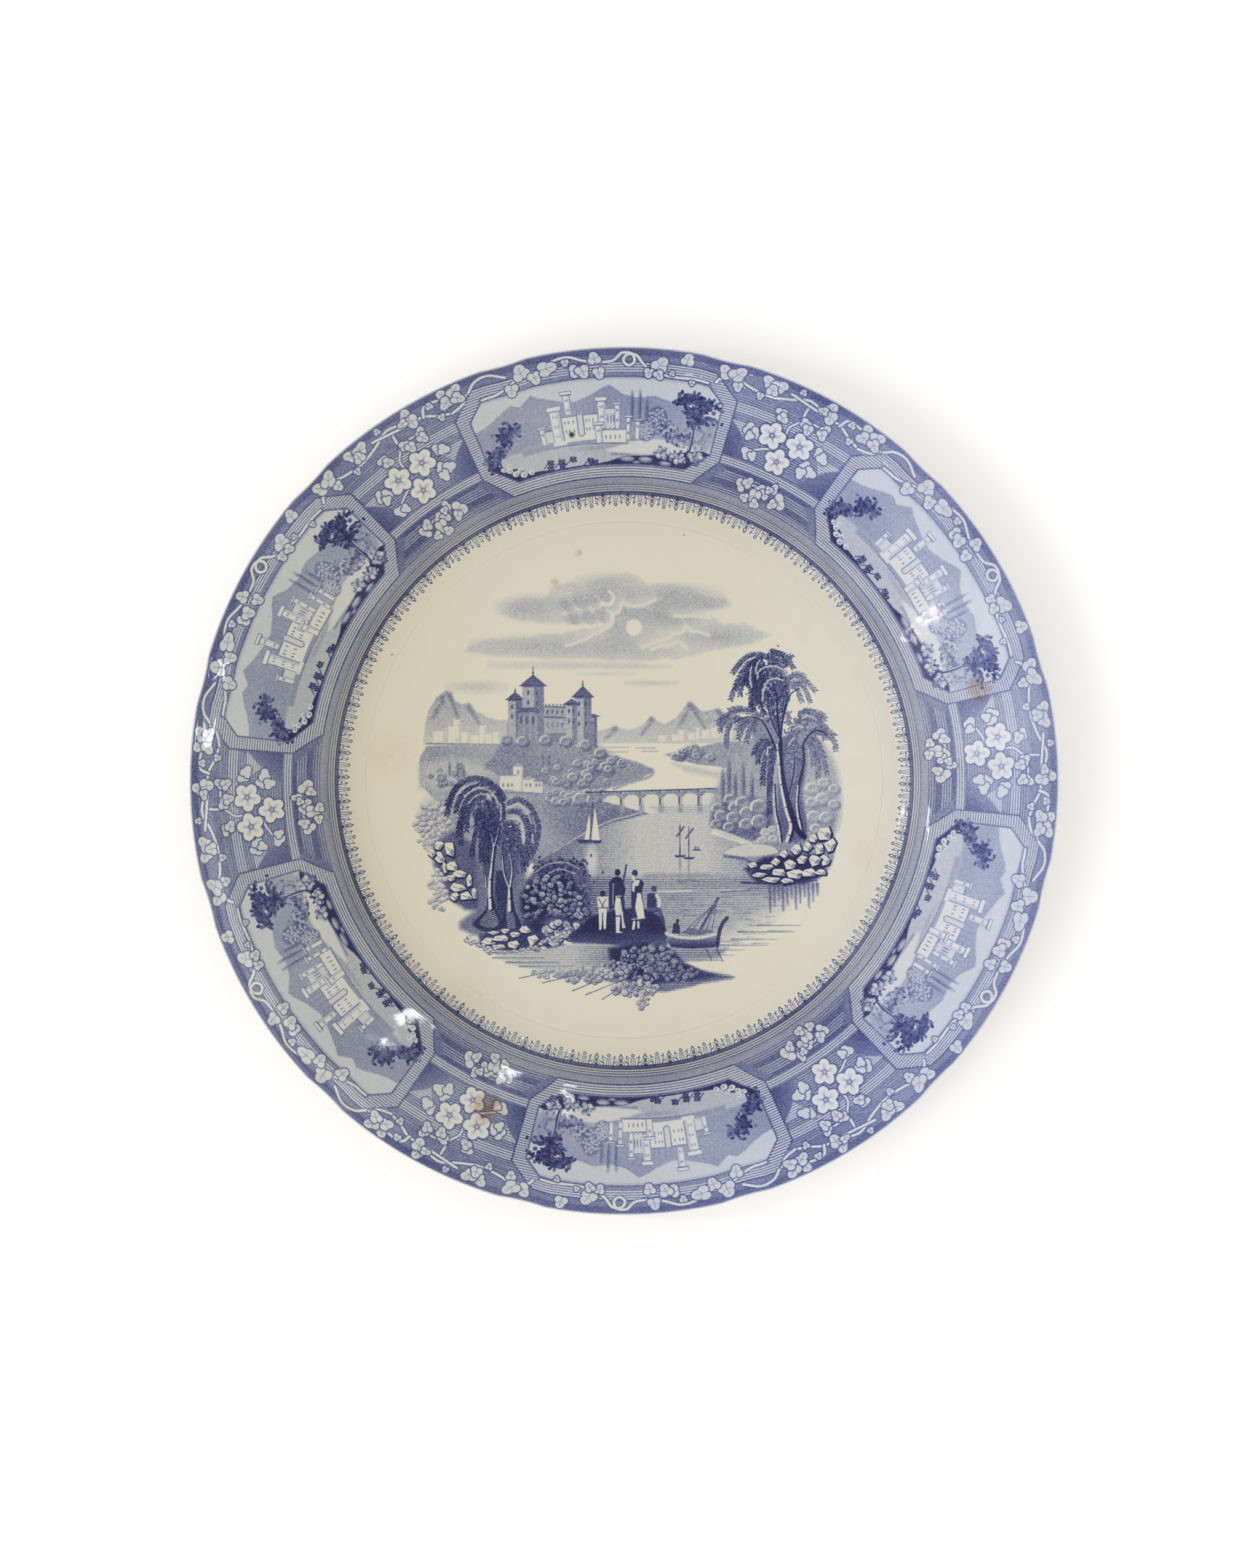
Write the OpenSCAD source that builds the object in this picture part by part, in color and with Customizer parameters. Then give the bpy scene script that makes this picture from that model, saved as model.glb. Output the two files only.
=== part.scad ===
// Printed earthenware plate: a fired clay body, two underglaze transfer prints and a clear glaze coat.
// The plate lies face up. The origin is the centre of the foot ring's resting plane.

/* [Plate] */
// Diameter over the lobes of the rim
plate_d = 260; // [200:1:320]
// Height from the resting plane to the top of the lip
plate_h = 25; // [19:0.5:34]
// Width of the sloping rim, from the well's curved wall to the outer edge
rim_w = 37; // [28:0.5:46]

/* [Well] */
// Thickness of the floor
floor_t = 4.6; // [3:0.1:7]
// Width of the curved wall between the floor and the rim, seen from above
wall_w = 11; // [8:0.5:16]
// Rise of the curved wall
wall_rise = 8.5; // [6:0.5:12]

/* [Rim] */
// Thickness of the rim at the lip
rim_t = 4; // [2.8:0.1:6]
// Width of the lip's outer roll, seen from above
lip_w = 8; // [5:0.5:12]
// Drop of the lip from its crest to where the round edge begins
lip_drop = 1.6; // [0.8:0.1:3]
// Number of shallow notches that divide the edge into lobes
notch_count = 12; // [6:1:16]
// Depth of a notch below the round outline
notch_depth = 0.5; // [0.2:0.05:1.2]
// Radius of the curve that cuts a notch
notch_curve_r = 80; // [40:5:140]
// Angle of the first notch from +X
first_notch = 16.3; // [0:0.1:60]

/* [Foot] */
// Height of the foot ring
foot_h = 2.8; // [1.5:0.1:5]
// Width of the foot ring's resting face
foot_w = 3; // [2:0.1:6]
// Distance from the foot ring's outer side in to the floor's edge
foot_inset = 6; // [2:0.5:14]
// Radius of the fillet at each side of the foot ring
foot_fillet = 1.2; // [0.6:0.1:1.5]

/* [Decoration] */
// Bare margin between the printed view and the floor's edge
view_margin = 11; // [4:0.5:20]
// Thickness allowed for the layer of printed ink
print_t = 0.05; // [0.03:0.01:0.1]
// Thickness of the clear glaze
glaze_t = 0.2; // [0.15:0.05:0.4]
// Bare clay left above the resting plane when the foot is wiped
wiped_h = 0.6; // [0.3:0.1:1]

/* [Hidden] */
$fn = 180;

plate_r = plate_d / 2;
well_r = plate_r - rim_w;
floor_r = well_r - wall_w;
lip_r = plate_r - lip_w;
foot_r = floor_r - foot_inset;
foot_inner_r = foot_r - foot_w;
view_r = floor_r - view_margin;
edge_r = rim_t / 2;

floor_z = foot_h + floor_t;
wall_z = floor_z + wall_rise;
edge_z = plate_h - lip_drop - edge_r;
rim_slope = (plate_h - wall_z) / (lip_r - well_r);

curve_steps = 8;
edge_steps = 8;
fillet_steps = 4;
cut = 5;

// A cubic curve through p0 and p3, leaving p0 towards p1 and reaching p3 from p2
function curve_at(p0, p1, p2, p3, t) =
    pow(1 - t, 3) * p0 + 3 * t * pow(1 - t, 2) * p1 + 3 * t * t * (1 - t) * p2 + pow(t, 3) * p3;
function curve(p0, p1, p2, p3) = [for (i = [0 : curve_steps]) curve_at(p0, p1, p2, p3, i / curve_steps)];

// Radius and height of each point along the face, from over the foot out to the edge of the lip
wall_start = [floor_r, floor_z];
wall_end = [well_r, wall_z];
crest = [lip_r, plate_h];
edge_top = [plate_r - edge_r, edge_z + edge_r];
wall_pull = wall_w * 0.5;
lip_pull = lip_w * 0.3;
wall_curve = curve(wall_start, wall_start + [wall_pull, 0], wall_end - wall_pull * [1, rim_slope], wall_end);
lip_curve = curve(crest, crest + [lip_pull, 0], edge_top - [lip_pull, 0], edge_top);
face = concat([[foot_r, floor_z]], wall_curve, lip_curve);

// The underside is the face moved down by the clay's thickness, and also outwards along the wall
wall_shift = [floor_t / 2, -floor_t];
under = concat([[foot_r, foot_h]], moved(wall_curve, wall_shift), moved(lip_curve, [0, -rim_t]));

function moved(path, by) = [for (p = path) p + by];
function unit(v) = v / norm(v);
function turned(v) = [-v[1], v[0]];
function last(path) = len(path) - 1;
// Upward normal of a path at one of its points, from the points on either side
function normal_at(path, i) = turned(unit(path[min(i + 1, last(path))] - path[max(i - 1, 0)]));
function lowered(path, by) = [for (i = [0 : last(path)]) path[i] - by * normal_at(path, i)];
function reversed(path) = [for (i = [last(path) : -1 : 0]) path[i]];
function beyond_first(path) = [for (i = [1 : last(path)]) path[i]];

// Half round edge that joins the face to the underside
function edge_round(by) =
    [for (i = [1 : edge_steps - 1])
        let (a = 90 - 180 * i / edge_steps)
        [plate_r - edge_r + (edge_r - by) * cos(a), edge_z + (edge_r - by) * sin(a)]];

// Quarter round from the foot ring's side up to the underside: side is 1 outside the ring, -1 inside
function foot_side(r, side, by) =
    [for (i = [0 : fillet_steps])
        let (a = 90 * i / fillet_steps)
        [r + side * (foot_fillet - (foot_fillet + by) * sin(a)),
         foot_h - foot_fillet + (foot_fillet + by) * cos(a)]];

// The edge, the underside and the foot ring's outer side, down to a height above the resting plane
function back_path(by, lift) =
    concat(edge_round(by), reversed(beyond_first(lowered(under, -by))),
           foot_side(foot_r, 1, by), [[foot_r - by, lift]]);

// The underside within the foot ring, from the axis out, and the ring's inner side
function inside_path(by, lift) =
    concat([[0, foot_h + by]], foot_side(foot_inner_r, -1, by), [[foot_inner_r + by, lift]]);

// The whole surface outside the foot ring, from the axis over the face and back to the foot
function outside_path(by, lift) = concat([[0, floor_z - by]], lowered(face, by), back_path(by, lift));

// Face of the clay, with a recess as deep as the ink where a print soaks into it
inked_face = lowered(face, glaze_t + print_t);
bare_floor_z = floor_z - glaze_t;
clay_face = concat([[0, bare_floor_z - print_t], [view_r, bare_floor_z - print_t], [view_r, bare_floor_z]],
                   [[floor_r, bare_floor_z]], beyond_first(inked_face));

// Upright cylinders that bite the notches out of the edge
module notches() {
    reach = plate_r - notch_depth + notch_curve_r;
    for (i = [0 : notch_count - 1])
        rotate(first_notch + i * 360 / notch_count)
            translate([reach, 0, -cut])
                cylinder(r = notch_curve_r, h = plate_h + 2 * cut);
}

module earthenware_body() {
    color("ivory")
        difference() {
            rotate_extrude()
                polygon(concat(clay_face, back_path(glaze_t, 0), reversed(inside_path(glaze_t, 0))));
            notches();
        }
}

// The view is a disc of ink in the floor of the well
module view_print() {
    color("steelblue") translate([0, 0, bare_floor_z - print_t]) cylinder(r = view_r, h = print_t);
}

// The border is a sheet of ink that follows the wall, the rim and the lip
module border_print() {
    upper = beyond_first(lowered(face, glaze_t));
    color("royalblue") rotate_extrude() polygon(concat(upper, reversed(beyond_first(inked_face))));
}

// Clear coat in two parts, outside and inside the foot ring, whose resting face is wiped bare
module glaze_coat() {
    color("aliceblue", 0.3) {
        difference() {
            rotate_extrude()
                polygon(concat(outside_path(0, wiped_h), reversed(outside_path(glaze_t, wiped_h))));
            notches();
        }
        rotate_extrude()
            polygon(concat(inside_path(0, wiped_h), reversed(inside_path(glaze_t, wiped_h))));
    }
}

earthenware_body();
view_print();
border_print();
glaze_coat();
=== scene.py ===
"""Printed earthenware plate: the visible pieces, their materials, the floor, the lights and the camera."""
import math

import bpy
import numpy as np
from mathutils import Matrix, Vector


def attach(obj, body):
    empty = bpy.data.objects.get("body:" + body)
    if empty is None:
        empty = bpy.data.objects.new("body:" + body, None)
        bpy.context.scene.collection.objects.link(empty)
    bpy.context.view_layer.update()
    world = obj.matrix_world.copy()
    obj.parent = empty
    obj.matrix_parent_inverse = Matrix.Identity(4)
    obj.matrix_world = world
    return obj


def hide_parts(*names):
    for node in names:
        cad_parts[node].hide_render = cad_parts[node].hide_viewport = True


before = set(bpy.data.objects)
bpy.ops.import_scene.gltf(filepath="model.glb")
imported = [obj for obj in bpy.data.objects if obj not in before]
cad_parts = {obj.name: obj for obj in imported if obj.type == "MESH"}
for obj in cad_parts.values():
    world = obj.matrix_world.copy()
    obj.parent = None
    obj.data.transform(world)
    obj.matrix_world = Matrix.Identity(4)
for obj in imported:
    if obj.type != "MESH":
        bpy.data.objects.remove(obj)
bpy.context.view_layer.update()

MM = 0.001


# ---- Drawing on a flat sheet -------------------------------------------------

BARE = 0.0
# A distance from an outline beyond the reach of every soft edge, in millimetres
FAR = 9.0


class Sheet:
    """Ink on a flat sheet laid out in millimetres: 0 is bare clay and 1 is the darkest blue."""

    def __init__(self, low, high, step):
        self.step = step
        self.low = low
        self.x = np.arange(low[0], high[0] + step, step, dtype=np.float32)
        self.y = np.arange(low[1], high[1] + step, step, dtype=np.float32)
        self.ink = np.zeros((len(self.y), len(self.x)), np.float32)

    def window(self, low, high):
        """The part of the sheet between two corners, with its X and Y."""
        pad = 2 * self.step
        i0, i1 = np.searchsorted(self.x, (low[0] - pad, high[0] + pad))
        j0, j1 = np.searchsorted(self.y, (low[1] - pad, high[1] + pad))
        return (slice(j0, j1), slice(i0, i1)), self.x[None, i0:i1], self.y[j0:j1, None]

    def lay(self, where, depth, tone, soft, x, y, strength=1.0):
        """Covers the part with a tone where depth, the distance inside the shape, is positive."""
        cover = np.clip(depth / max(soft, self.step) + 0.5, 0, 1) * strength
        if callable(tone):
            tone = tone(x, y)
        patch = self.ink[where]
        patch += (tone - patch) * cover

    def dab(self, x, y, rx, ry=None, turn=0.0, tone=1.0, soft=0.0):
        """An ellipse, turned by an angle in degrees."""
        ry = rx if ry is None else ry
        reach = max(rx, ry) + soft
        where, gx, gy = self.window((x - reach, y - reach), (x + reach, y + reach))
        if self.ink[where].size == 0:
            return
        c, s = math.cos(math.radians(turn)), math.sin(math.radians(turn))
        dx, dy = gx - x, gy - y
        along = (dx * c + dy * s) / rx
        across = (dy * c - dx * s) / ry
        depth = (1 - np.sqrt(along**2 + across**2)) * min(rx, ry)
        self.lay(where, depth, tone, soft, gx, gy)

    def stroke(self, points, width, tone=1.0, end_width=None, soft=0.0, strength=1.0):
        """A line through points, whose width may taper to its end."""
        points = np.asarray(points, np.float32)
        end_width = width if end_width is None else end_width
        reach = max(width, end_width) / 2 + soft
        where, gx, gy = self.window(points.min(0) - reach, points.max(0) + reach)
        if self.ink[where].size == 0:
            return
        steps = np.hypot(*np.diff(points, axis=0).T)
        total = max(steps.sum(), 1e-6)
        depth = np.full(self.ink[where].shape, -FAR, np.float32)
        gone = 0.0
        for (ax, ay), (bx, by), step in zip(points[:-1], points[1:], steps):
            if step > 0:
                t = np.clip(((gx - ax) * (bx - ax) + (gy - ay) * (by - ay)) / step**2, 0, 1)
                away = np.hypot(gx - ax - t * (bx - ax), gy - ay - t * (by - ay))
                half = (width + (end_width - width) * (gone + t * step) / total) / 2
                np.maximum(depth, half - away, out=depth)
                gone += step
        self.lay(where, depth, tone, soft, gx, gy, strength)

    def area(self, points, tone=1.0, soft=0.0):
        """The inside of a closed outline."""
        points = np.asarray(points, np.float32)
        where, gx, gy = self.window(points.min(0) - soft, points.max(0) + soft)
        if self.ink[where].size == 0:
            return
        inside = np.zeros(self.ink[where].shape, bool)
        away = np.full(inside.shape, FAR, np.float32)
        for (ax, ay), (bx, by) in zip(points, np.roll(points, -1, axis=0)):
            span = (bx - ax) ** 2 + (by - ay) ** 2
            if span == 0:
                continue
            t = np.clip(((gx - ax) * (bx - ax) + (gy - ay) * (by - ay)) / span, 0, 1)
            np.minimum(away, np.hypot(gx - ax - t * (bx - ax), gy - ay - t * (by - ay)), out=away)
            if ay != by:
                crosses = (gy < ay) != (gy < by)
                inside ^= crosses & (gx < ax + (gy - ay) * (bx - ax) / (by - ay))
        self.lay(where, np.where(inside, away, -away), tone, soft, gx, gy)

    def box(self, x0, y0, x1, y1, tone=1.0, soft=0.0):
        """An upright rectangle."""
        self.area([(x0, y0), (x1, y0), (x1, y1), (x0, y1)], tone, soft)

    def line(self, x0, y0, x1, y1, width, tone=1.0, **more):
        """A straight stroke."""
        self.stroke([(x0, y0), (x1, y1)], width, tone, **more)

    def bend(self, points, width, tone=1.0, **more):
        """A rounded stroke through a few points."""
        self.stroke(smooth(points), width, tone, **more)

    def blob(self, points, tone=1.0, soft=0.0):
        """The inside of a rounded outline."""
        self.area(smooth(points, 3), tone, soft)

    def stipple(self, strength, seed):
        """Breaks the middle tones into the fine uneven dots of an engraving, each about three cells wide."""
        keep = 1.9
        dots = np.random.default_rng(seed).normal(0, 1, self.ink.shape).astype(np.float32)
        for axis in (0, 1):
            dots = (dots + np.roll(dots, 1, axis) + np.roll(dots, -1, axis)) / keep
        self.ink += strength * dots * self.ink * np.clip(1 - self.ink, 0, 1)
        np.clip(self.ink, 0, 1, out=self.ink)

    def sample(self, x, y):
        """The ink at points anywhere on the sheet, blended between its four nearest cells."""
        u = np.clip((x - self.low[0]) / self.step, 0, len(self.x) - 1.001)
        v = np.clip((y - self.low[1]) / self.step, 0, len(self.y) - 1.001)
        i, j = u.astype(int), v.astype(int)
        fu, fv = u - i, v - j
        lower = self.ink[j, i] * (1 - fu) + self.ink[j, i + 1] * fu
        upper = self.ink[j + 1, i] * (1 - fu) + self.ink[j + 1, i + 1] * fu
        return lower * (1 - fv) + upper * fv


def ruled(tone, pitch=0.65, turn=0.0, depth=0.4):
    """A tone engraved as parallel lines."""
    c, s = math.cos(math.radians(turn)), math.sin(math.radians(turn))
    return lambda x, y: tone * (1 + depth * np.cos((y * c - x * s) * 2 * math.pi / pitch))


def blend_tone(tone_a, tone_b, start, end):
    """A tone that changes evenly from one point to another."""
    (ax, ay), (bx, by) = start, end
    span = (bx - ax) ** 2 + (by - ay) ** 2

    def tone(x, y):
        t = np.clip(((x - ax) * (bx - ax) + (y - ay) * (by - ay)) / span, 0, 1)
        return tone_a + (tone_b - tone_a) * t

    return tone


def smooth(points, per_span=6):
    """A rounded line through a few points (Catmull-Rom)."""
    p = np.asarray(points, float)
    p = np.vstack([2 * p[0] - p[1], p, 2 * p[-1] - p[-2]])
    out = []
    for a, b, c, d in zip(p[:-3], p[1:-2], p[2:-1], p[3:]):
        for t in np.arange(per_span) / per_span:
            out.append(0.5 * (2 * b + (c - a) * t + (2 * a - 5 * b + 4 * c - d) * t**2
                              + (3 * b - a - 3 * c + d) * t**3))
    out.append(p[-2])
    return np.array(out)


# ---- The view in the well ----------------------------------------------------


def elliptic_arc(x, y, rx, ry, turns):
    """Points of an ellipse at some angles in degrees."""
    return [(x + rx * math.cos(a), y + ry * math.sin(a)) for a in np.radians(turns)]


CLOUD_EDGE = [
    (-39.5, 51.4), (-36, 54.6), (-33, 56.4), (-27, 56.4), (-25, 57.4), (-24, 59.8), (-20, 61), (-17.6, 61),
    (-14.4, 59.8), (-11.3, 61.6), (-8, 62.2), (-4.9, 63.6), (0.5, 63.4), (3.4, 61.4), (5.1, 59.8),
    (9, 60.4), (13.3, 60.2), (18.7, 58.9), (21.5, 56.8), (26, 56.2), (29.6, 54.8), (23.3, 52.9),
    (17.8, 51.6), (24, 50), (29, 48.6), (34, 48.8), (38, 46.8), (42.4, 45.3), (37, 43.4), (30.5, 41.4),
    (24, 40.4), (18.7, 38.9), (8, 37.6), (-6, 37.8), (-23, 38), (-36, 38.6), (-42.2, 39), (-50.4, 40.7),
    (-46, 42.8), (-43, 43.9), (-36, 44), (-26.7, 45.2), (-20, 46), (-15, 47.4), (-20, 48.6), (-30, 49),
]
CLOUD_SHADES = (
    (-31, 53.4, 7.5, 2.8, 0.29), (-8, 59.6, 8, 3, 0.27), (0, 52, 7, 5, 0.32), (12, 56, 12, 3.4, 0.29),
    (10, 50.6, 8, 3, 0.32), (-26, 41.6, 20, 2.4, 0.28), (-2, 42, 10, 3.4, 0.3), (26, 44.6, 10, 2.4, 0.27),
    (22, 54.6, 6, 1.6, 0.27), (-4, 46.6, 3, 4, 0.31),
)
MOONLIT_EDGES = (
    [(6.9, 55.8), (3.3, 54.2), (-0.4, 53.8), (-2.6, 54.8), (-4, 52.2), (-5.9, 51), (-6.1, 48.6), (-8, 46.8),
     (-10.4, 45.8), (-14, 43.7), (-19.5, 41.9)],
    [(3.3, 41.3), (7.8, 43.3), (11, 44.2), (12.6, 45.6), (15, 46), (16.2, 47.6), (17.6, 46.4), (20, 46.2),
     (23.3, 44.8)],
    [(6, 40.6), (9, 42), (11.4, 41.8), (13.3, 43), (15.4, 42.2), (16.5, 40.8)],
    [(13, 50.8), (18, 50.9), (23, 50.4)],
)
BILLOWS = (
    (-19, 53.4, 2.2), (-14.9, 54.4, 2.3), (-11.3, 54.8, 2.2), (-7.6, 56.2, 2.1), (-16.7, 49.4, 2.2),
    (-12.6, 49.8, 2.4), (-8.2, 50.2, 2.5),
)


def clouds(s):
    """Two long banks of cloud, with moonlit billows along the gap between them."""
    rng = np.random.default_rng(2)
    edge = smooth(CLOUD_EDGE + CLOUD_EDGE[:1], 5)
    edge = edge + rng.normal(0, 0.22, edge.shape)
    s.area(edge, ruled(0.1, 0.6, depth=0.12), soft=1.0)
    for x, y, rx, ry, tone in CLOUD_SHADES:
        s.dab(x, y, rx, ry, 0, ruled(tone * 0.68, 0.6, depth=0.12), soft=min(rx, ry) * 1.3)
    for x, y, rx, ry, tone in ((-20, 36, 22, 0.9, 0.12), (-47, 29.4, 7, 1.3, 0.13), (6, 30.6, 7, 0.6, 0.13),
                               (2, 35.6, 9, 0.6, 0.1), (-8, 33.4, 8, 0.5, 0.08)):
        s.dab(x, y, rx, ry, 0, tone, soft=ry * 2)
    for x, y, size in BILLOWS:
        arc = elliptic_arc(x, y, size, size, range(-125, 76, 20))
        s.dab(x - 0.9, y + 0.9, size, size * 0.9, 0, 0.22, soft=size)
        s.stroke(arc, 1.3, 0.0, end_width=0.6, soft=0.6)
    for line in MOONLIT_EDGES:
        line = smooth(line, 5)
        s.stroke(line + rng.normal(0, 0.1, line.shape), 1.1, 0.02, end_width=0.9, soft=0.7)
        s.stroke(line + (-0.7, 0.9), 2.2, 0.06, end_width=0.8, soft=2.2, strength=0.6)
    s.dab(0.6, 47.3, 2.45, tone=BARE, soft=0.4)


LEFT_RANGE = [
    (-63, 12), (-62.4, 17.8), (-61.4, 22.2), (-58.9, 26.2), (-55.8, 28.6), (-53.4, 25.2), (-51, 24.2),
    (-49, 24.8), (-47.4, 22.4), (-43.6, 20.2), (-40, 19.4), (-36, 19.6), (-36, 12),
]
RIGHT_RANGE = [
    (-12, 12.4), (-10.4, 16), (-5.2, 17.4), (-0.7, 16.4), (2.6, 17.6), (5.8, 20.2), (7.2, 19.4),
    (9.8, 18.2), (13.2, 20), (15.6, 23), (17.5, 25), (19.4, 23.6), (21.2, 22), (25.5, 22.8), (31, 20.4),
    (36, 20), (40, 12), (22, 12.4),
]
RIDGES = (
    (-57, 26, -60, 20), (-55, 27, -52, 19), (-49, 23, -46, 18), (17.5, 24, 14, 17), (18.5, 23, 22, 17),
    (6, 19.6, 3, 15), (-5, 16.8, -8, 13.6), (26, 22, 30, 16),
)


def mountains(s):
    """Two far ranges, with a dark and a light stroke along each ridge."""
    for range_, top in ((LEFT_RANGE, 28), (RIGHT_RANGE, 25)):
        tone = blend_tone(0.27, 0.13, (0, top), (0, 13))
        s.area(range_, lambda x, y: tone(x, y) * (1 + 0.16 * np.cos((x * 0.7 - y) * 9)), soft=0.5)
    for x0, y0, x1, y1 in RIDGES:
        s.line(x0, y0, x1, y1, 1.6, 0.4, end_width=0.4, soft=1.2)
        s.line(x0 - 1, y0 - 1, x1 - 1.4, y1 + 1, 0.8, 0.16, end_width=0.3, soft=0.8, strength=0.7)


TOWN_HOUSES = (
    (-60, 12.6, 4, 3.4), (-55.4, 12.4, 3.2, 5), (-53.8, 14, 2.2, 5.6), (-51.4, 12.6, 2.4, 3.2),
    (-48.6, 12.4, 3.4, 2.4), (-46, 12.4, 2, 5.4), (-44, 12.2, 2.4, 3), (-41.8, 12.2, 1.8, 3.6),
    (-40.4, 12, 2, 2.2), (8, 13, 3, 1.8), (12, 13, 2.6, 2.2), (14, 13.2, 2.2, 3.2), (17, 13.4, 2.6, 2.2),
    (19.4, 13.6, 1.2, 3.6), (21, 13.8, 3, 2.6), (24, 14, 3.4, 3.2), (27.4, 14, 4, 2.6),
)


def town(s):
    """Small pale houses with shaded right sides along the far shores."""
    for x, y, w, h in TOWN_HOUSES:
        s.box(x, y, x + w, y + h, 0.03)
        s.box(x + w * 0.72, y, x + w, y + h * 0.9, 0.12)
    s.line(-62, 12.3, -38, 12, 0.5, 0.34)


FAR_GROUND = [
    (-64, 8), (-62, 11.6), (-50, 12), (-38, 12.2), (-30, 13), (-12, 12), (-10, 9.4), (-6, 8.4), (0, 6.4),
    (5.4, 5), (6.4, 4), (4.6, 2), (-2, 0), (-6, -1.8), (-14, -2.6), (-20, -4), (-30, -4), (-44, -6),
    (-58, -6), (-64, 0),
]
CASTLE_HILL = [
    (-42, 8), (-38.5, 13), (-34, 14.6), (-27, 15.2), (-18, 14.6), (-12, 13), (-8.6, 9.6), (-3, 8), (2, 6.6),
    (5.6, 4.8), (5.2, 3.4), (0, 1.6), (-5, -0.8), (-16, -1.8), (-26, 0), (-36, 1), (-42, 4), (-46, 5),
]


def far_shore(s):
    """Low ground left of the castle, its hill, and the banks right of the river."""
    s.area(FAR_GROUND, 0.3, soft=0.5)
    s.blob(CASTLE_HILL, blend_tone(0.44, 0.34, (-30, 14), (-2, 2)), soft=0.7)
    s.dab(-14, 9, 8, 3.6, -18, 0.36, soft=4)
    s.dab(-25, 10.5, 5, 3, 10, 0.37, soft=3)
    pale = [(-64, 6), (-55, 8), (-46, 6.6), (-42, 3), (-48, 0), (-56, -2), (-64, -1)]
    s.area(pale, 0.2, soft=2.4)
    right = [(9.6, 9), (17, 10.4), (26, 12.6), (34, 13), (40, 14), (40, 2), (30, 4.4), (26, 5.4), (20, 6),
             (14, 7.6)]
    s.blob(right, 0.33, soft=0.5)
    rng = np.random.default_rng(5)
    for centre, spread, count in (((-8, 6), (7, 2.2), 22), ((-52, 3), (8, 3.4), 16),
                                  ((17, 9.4), (6, 1.6), 14), ((-18, 1.5), (8, 2.2), 18)):
        for x, y in rng.normal(centre, np.array(spread) * 0.6, (count, 2)):
            round_tree(s, x, y, rng.uniform(0.9, 1.7), 0.42)
    for x, y, h in ((-55, 2.4, 4.6), (-52.6, 1.8, 5.4), (-50.8, 2, 3.4), (-27, 5.5, 4), (-25, 5.6, 3.2)):
        poplar(s, x, y, h, 0.9, 0.4)
    for x in (-4, -2.8, -1.4, -0.6):
        s.line(x, 10.2, x, 12, 0.25, 0.3)


def round_tree(s, x, y, size, tone):
    """A rounded clump, lit from the upper left."""
    s.dab(x + size * 0.15, y - size * 0.2, size, size * 0.85, 0, tone + 0.12, soft=size * 0.4)
    s.dab(x - size * 0.1, y + size * 0.1, size * 0.86, size * 0.72, 0, tone * 0.7, soft=size * 0.5)
    arc = elliptic_arc(x - size * 0.05, y + size * 0.05, size * 0.82, size * 0.7, (200, 165, 130, 95, 60))
    s.stroke(arc, size * 0.24, 0.04, end_width=size * 0.1, soft=size * 0.15)
    for k in range(3):
        inner = elliptic_arc(x, y - size * 0.1, size * (0.62 - 0.2 * k), size * (0.5 - 0.14 * k),
                             (190, 140, 90, 50))
        s.stroke(inner, 0.16, tone + 0.14, strength=0.7)


def clumps(s, places, tone):
    """Rounded clumps at (x, y, size)."""
    for x, y, size in places:
        round_tree(s, x, y, size, tone)


def poplar(s, x, y, height, width, tone):
    """A tall narrow tree, darker on its right."""
    s.dab(x, y + height / 2, width / 2, height / 2, 0, tone, soft=0.35)
    s.dab(x + width * 0.15, y + height * 0.42, width * 0.22, height * 0.38, 0, tone + 0.16, soft=0.3)


def tower(s, x, base, width, top, roof, tone=0.34, finial=1.6, windows=2):
    """A square tower, shaded on its right, under a low pyramid roof."""
    half = width / 2
    s.box(x - half, base, x + half, top, tone - 0.1)
    s.box(x + half * 0.1, base, x + half, top, tone + 0.12)
    s.box(x - half, top - 0.5, x + half, top, tone + 0.16)
    eave = half + 0.75
    s.area([(x - eave, top), (x + eave, top), (x + 0.2, top + roof), (x - 0.2, top + roof)], tone + 0.26)
    s.line(x - eave, top, x + eave, top, 0.3, 0.74)
    if finial:
        s.line(x, top + roof, x, top + roof + finial, 0.28, 0.6)
        s.dab(x, top + roof + finial * 0.3, 0.35, tone=0.6)
    for k in range(windows):
        for dx in (-0.45, 0.35):
            s.dab(x + dx * half, top - 2.1 - 3.0 * k, 0.3, 0.75, 0, 0.66)


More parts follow.
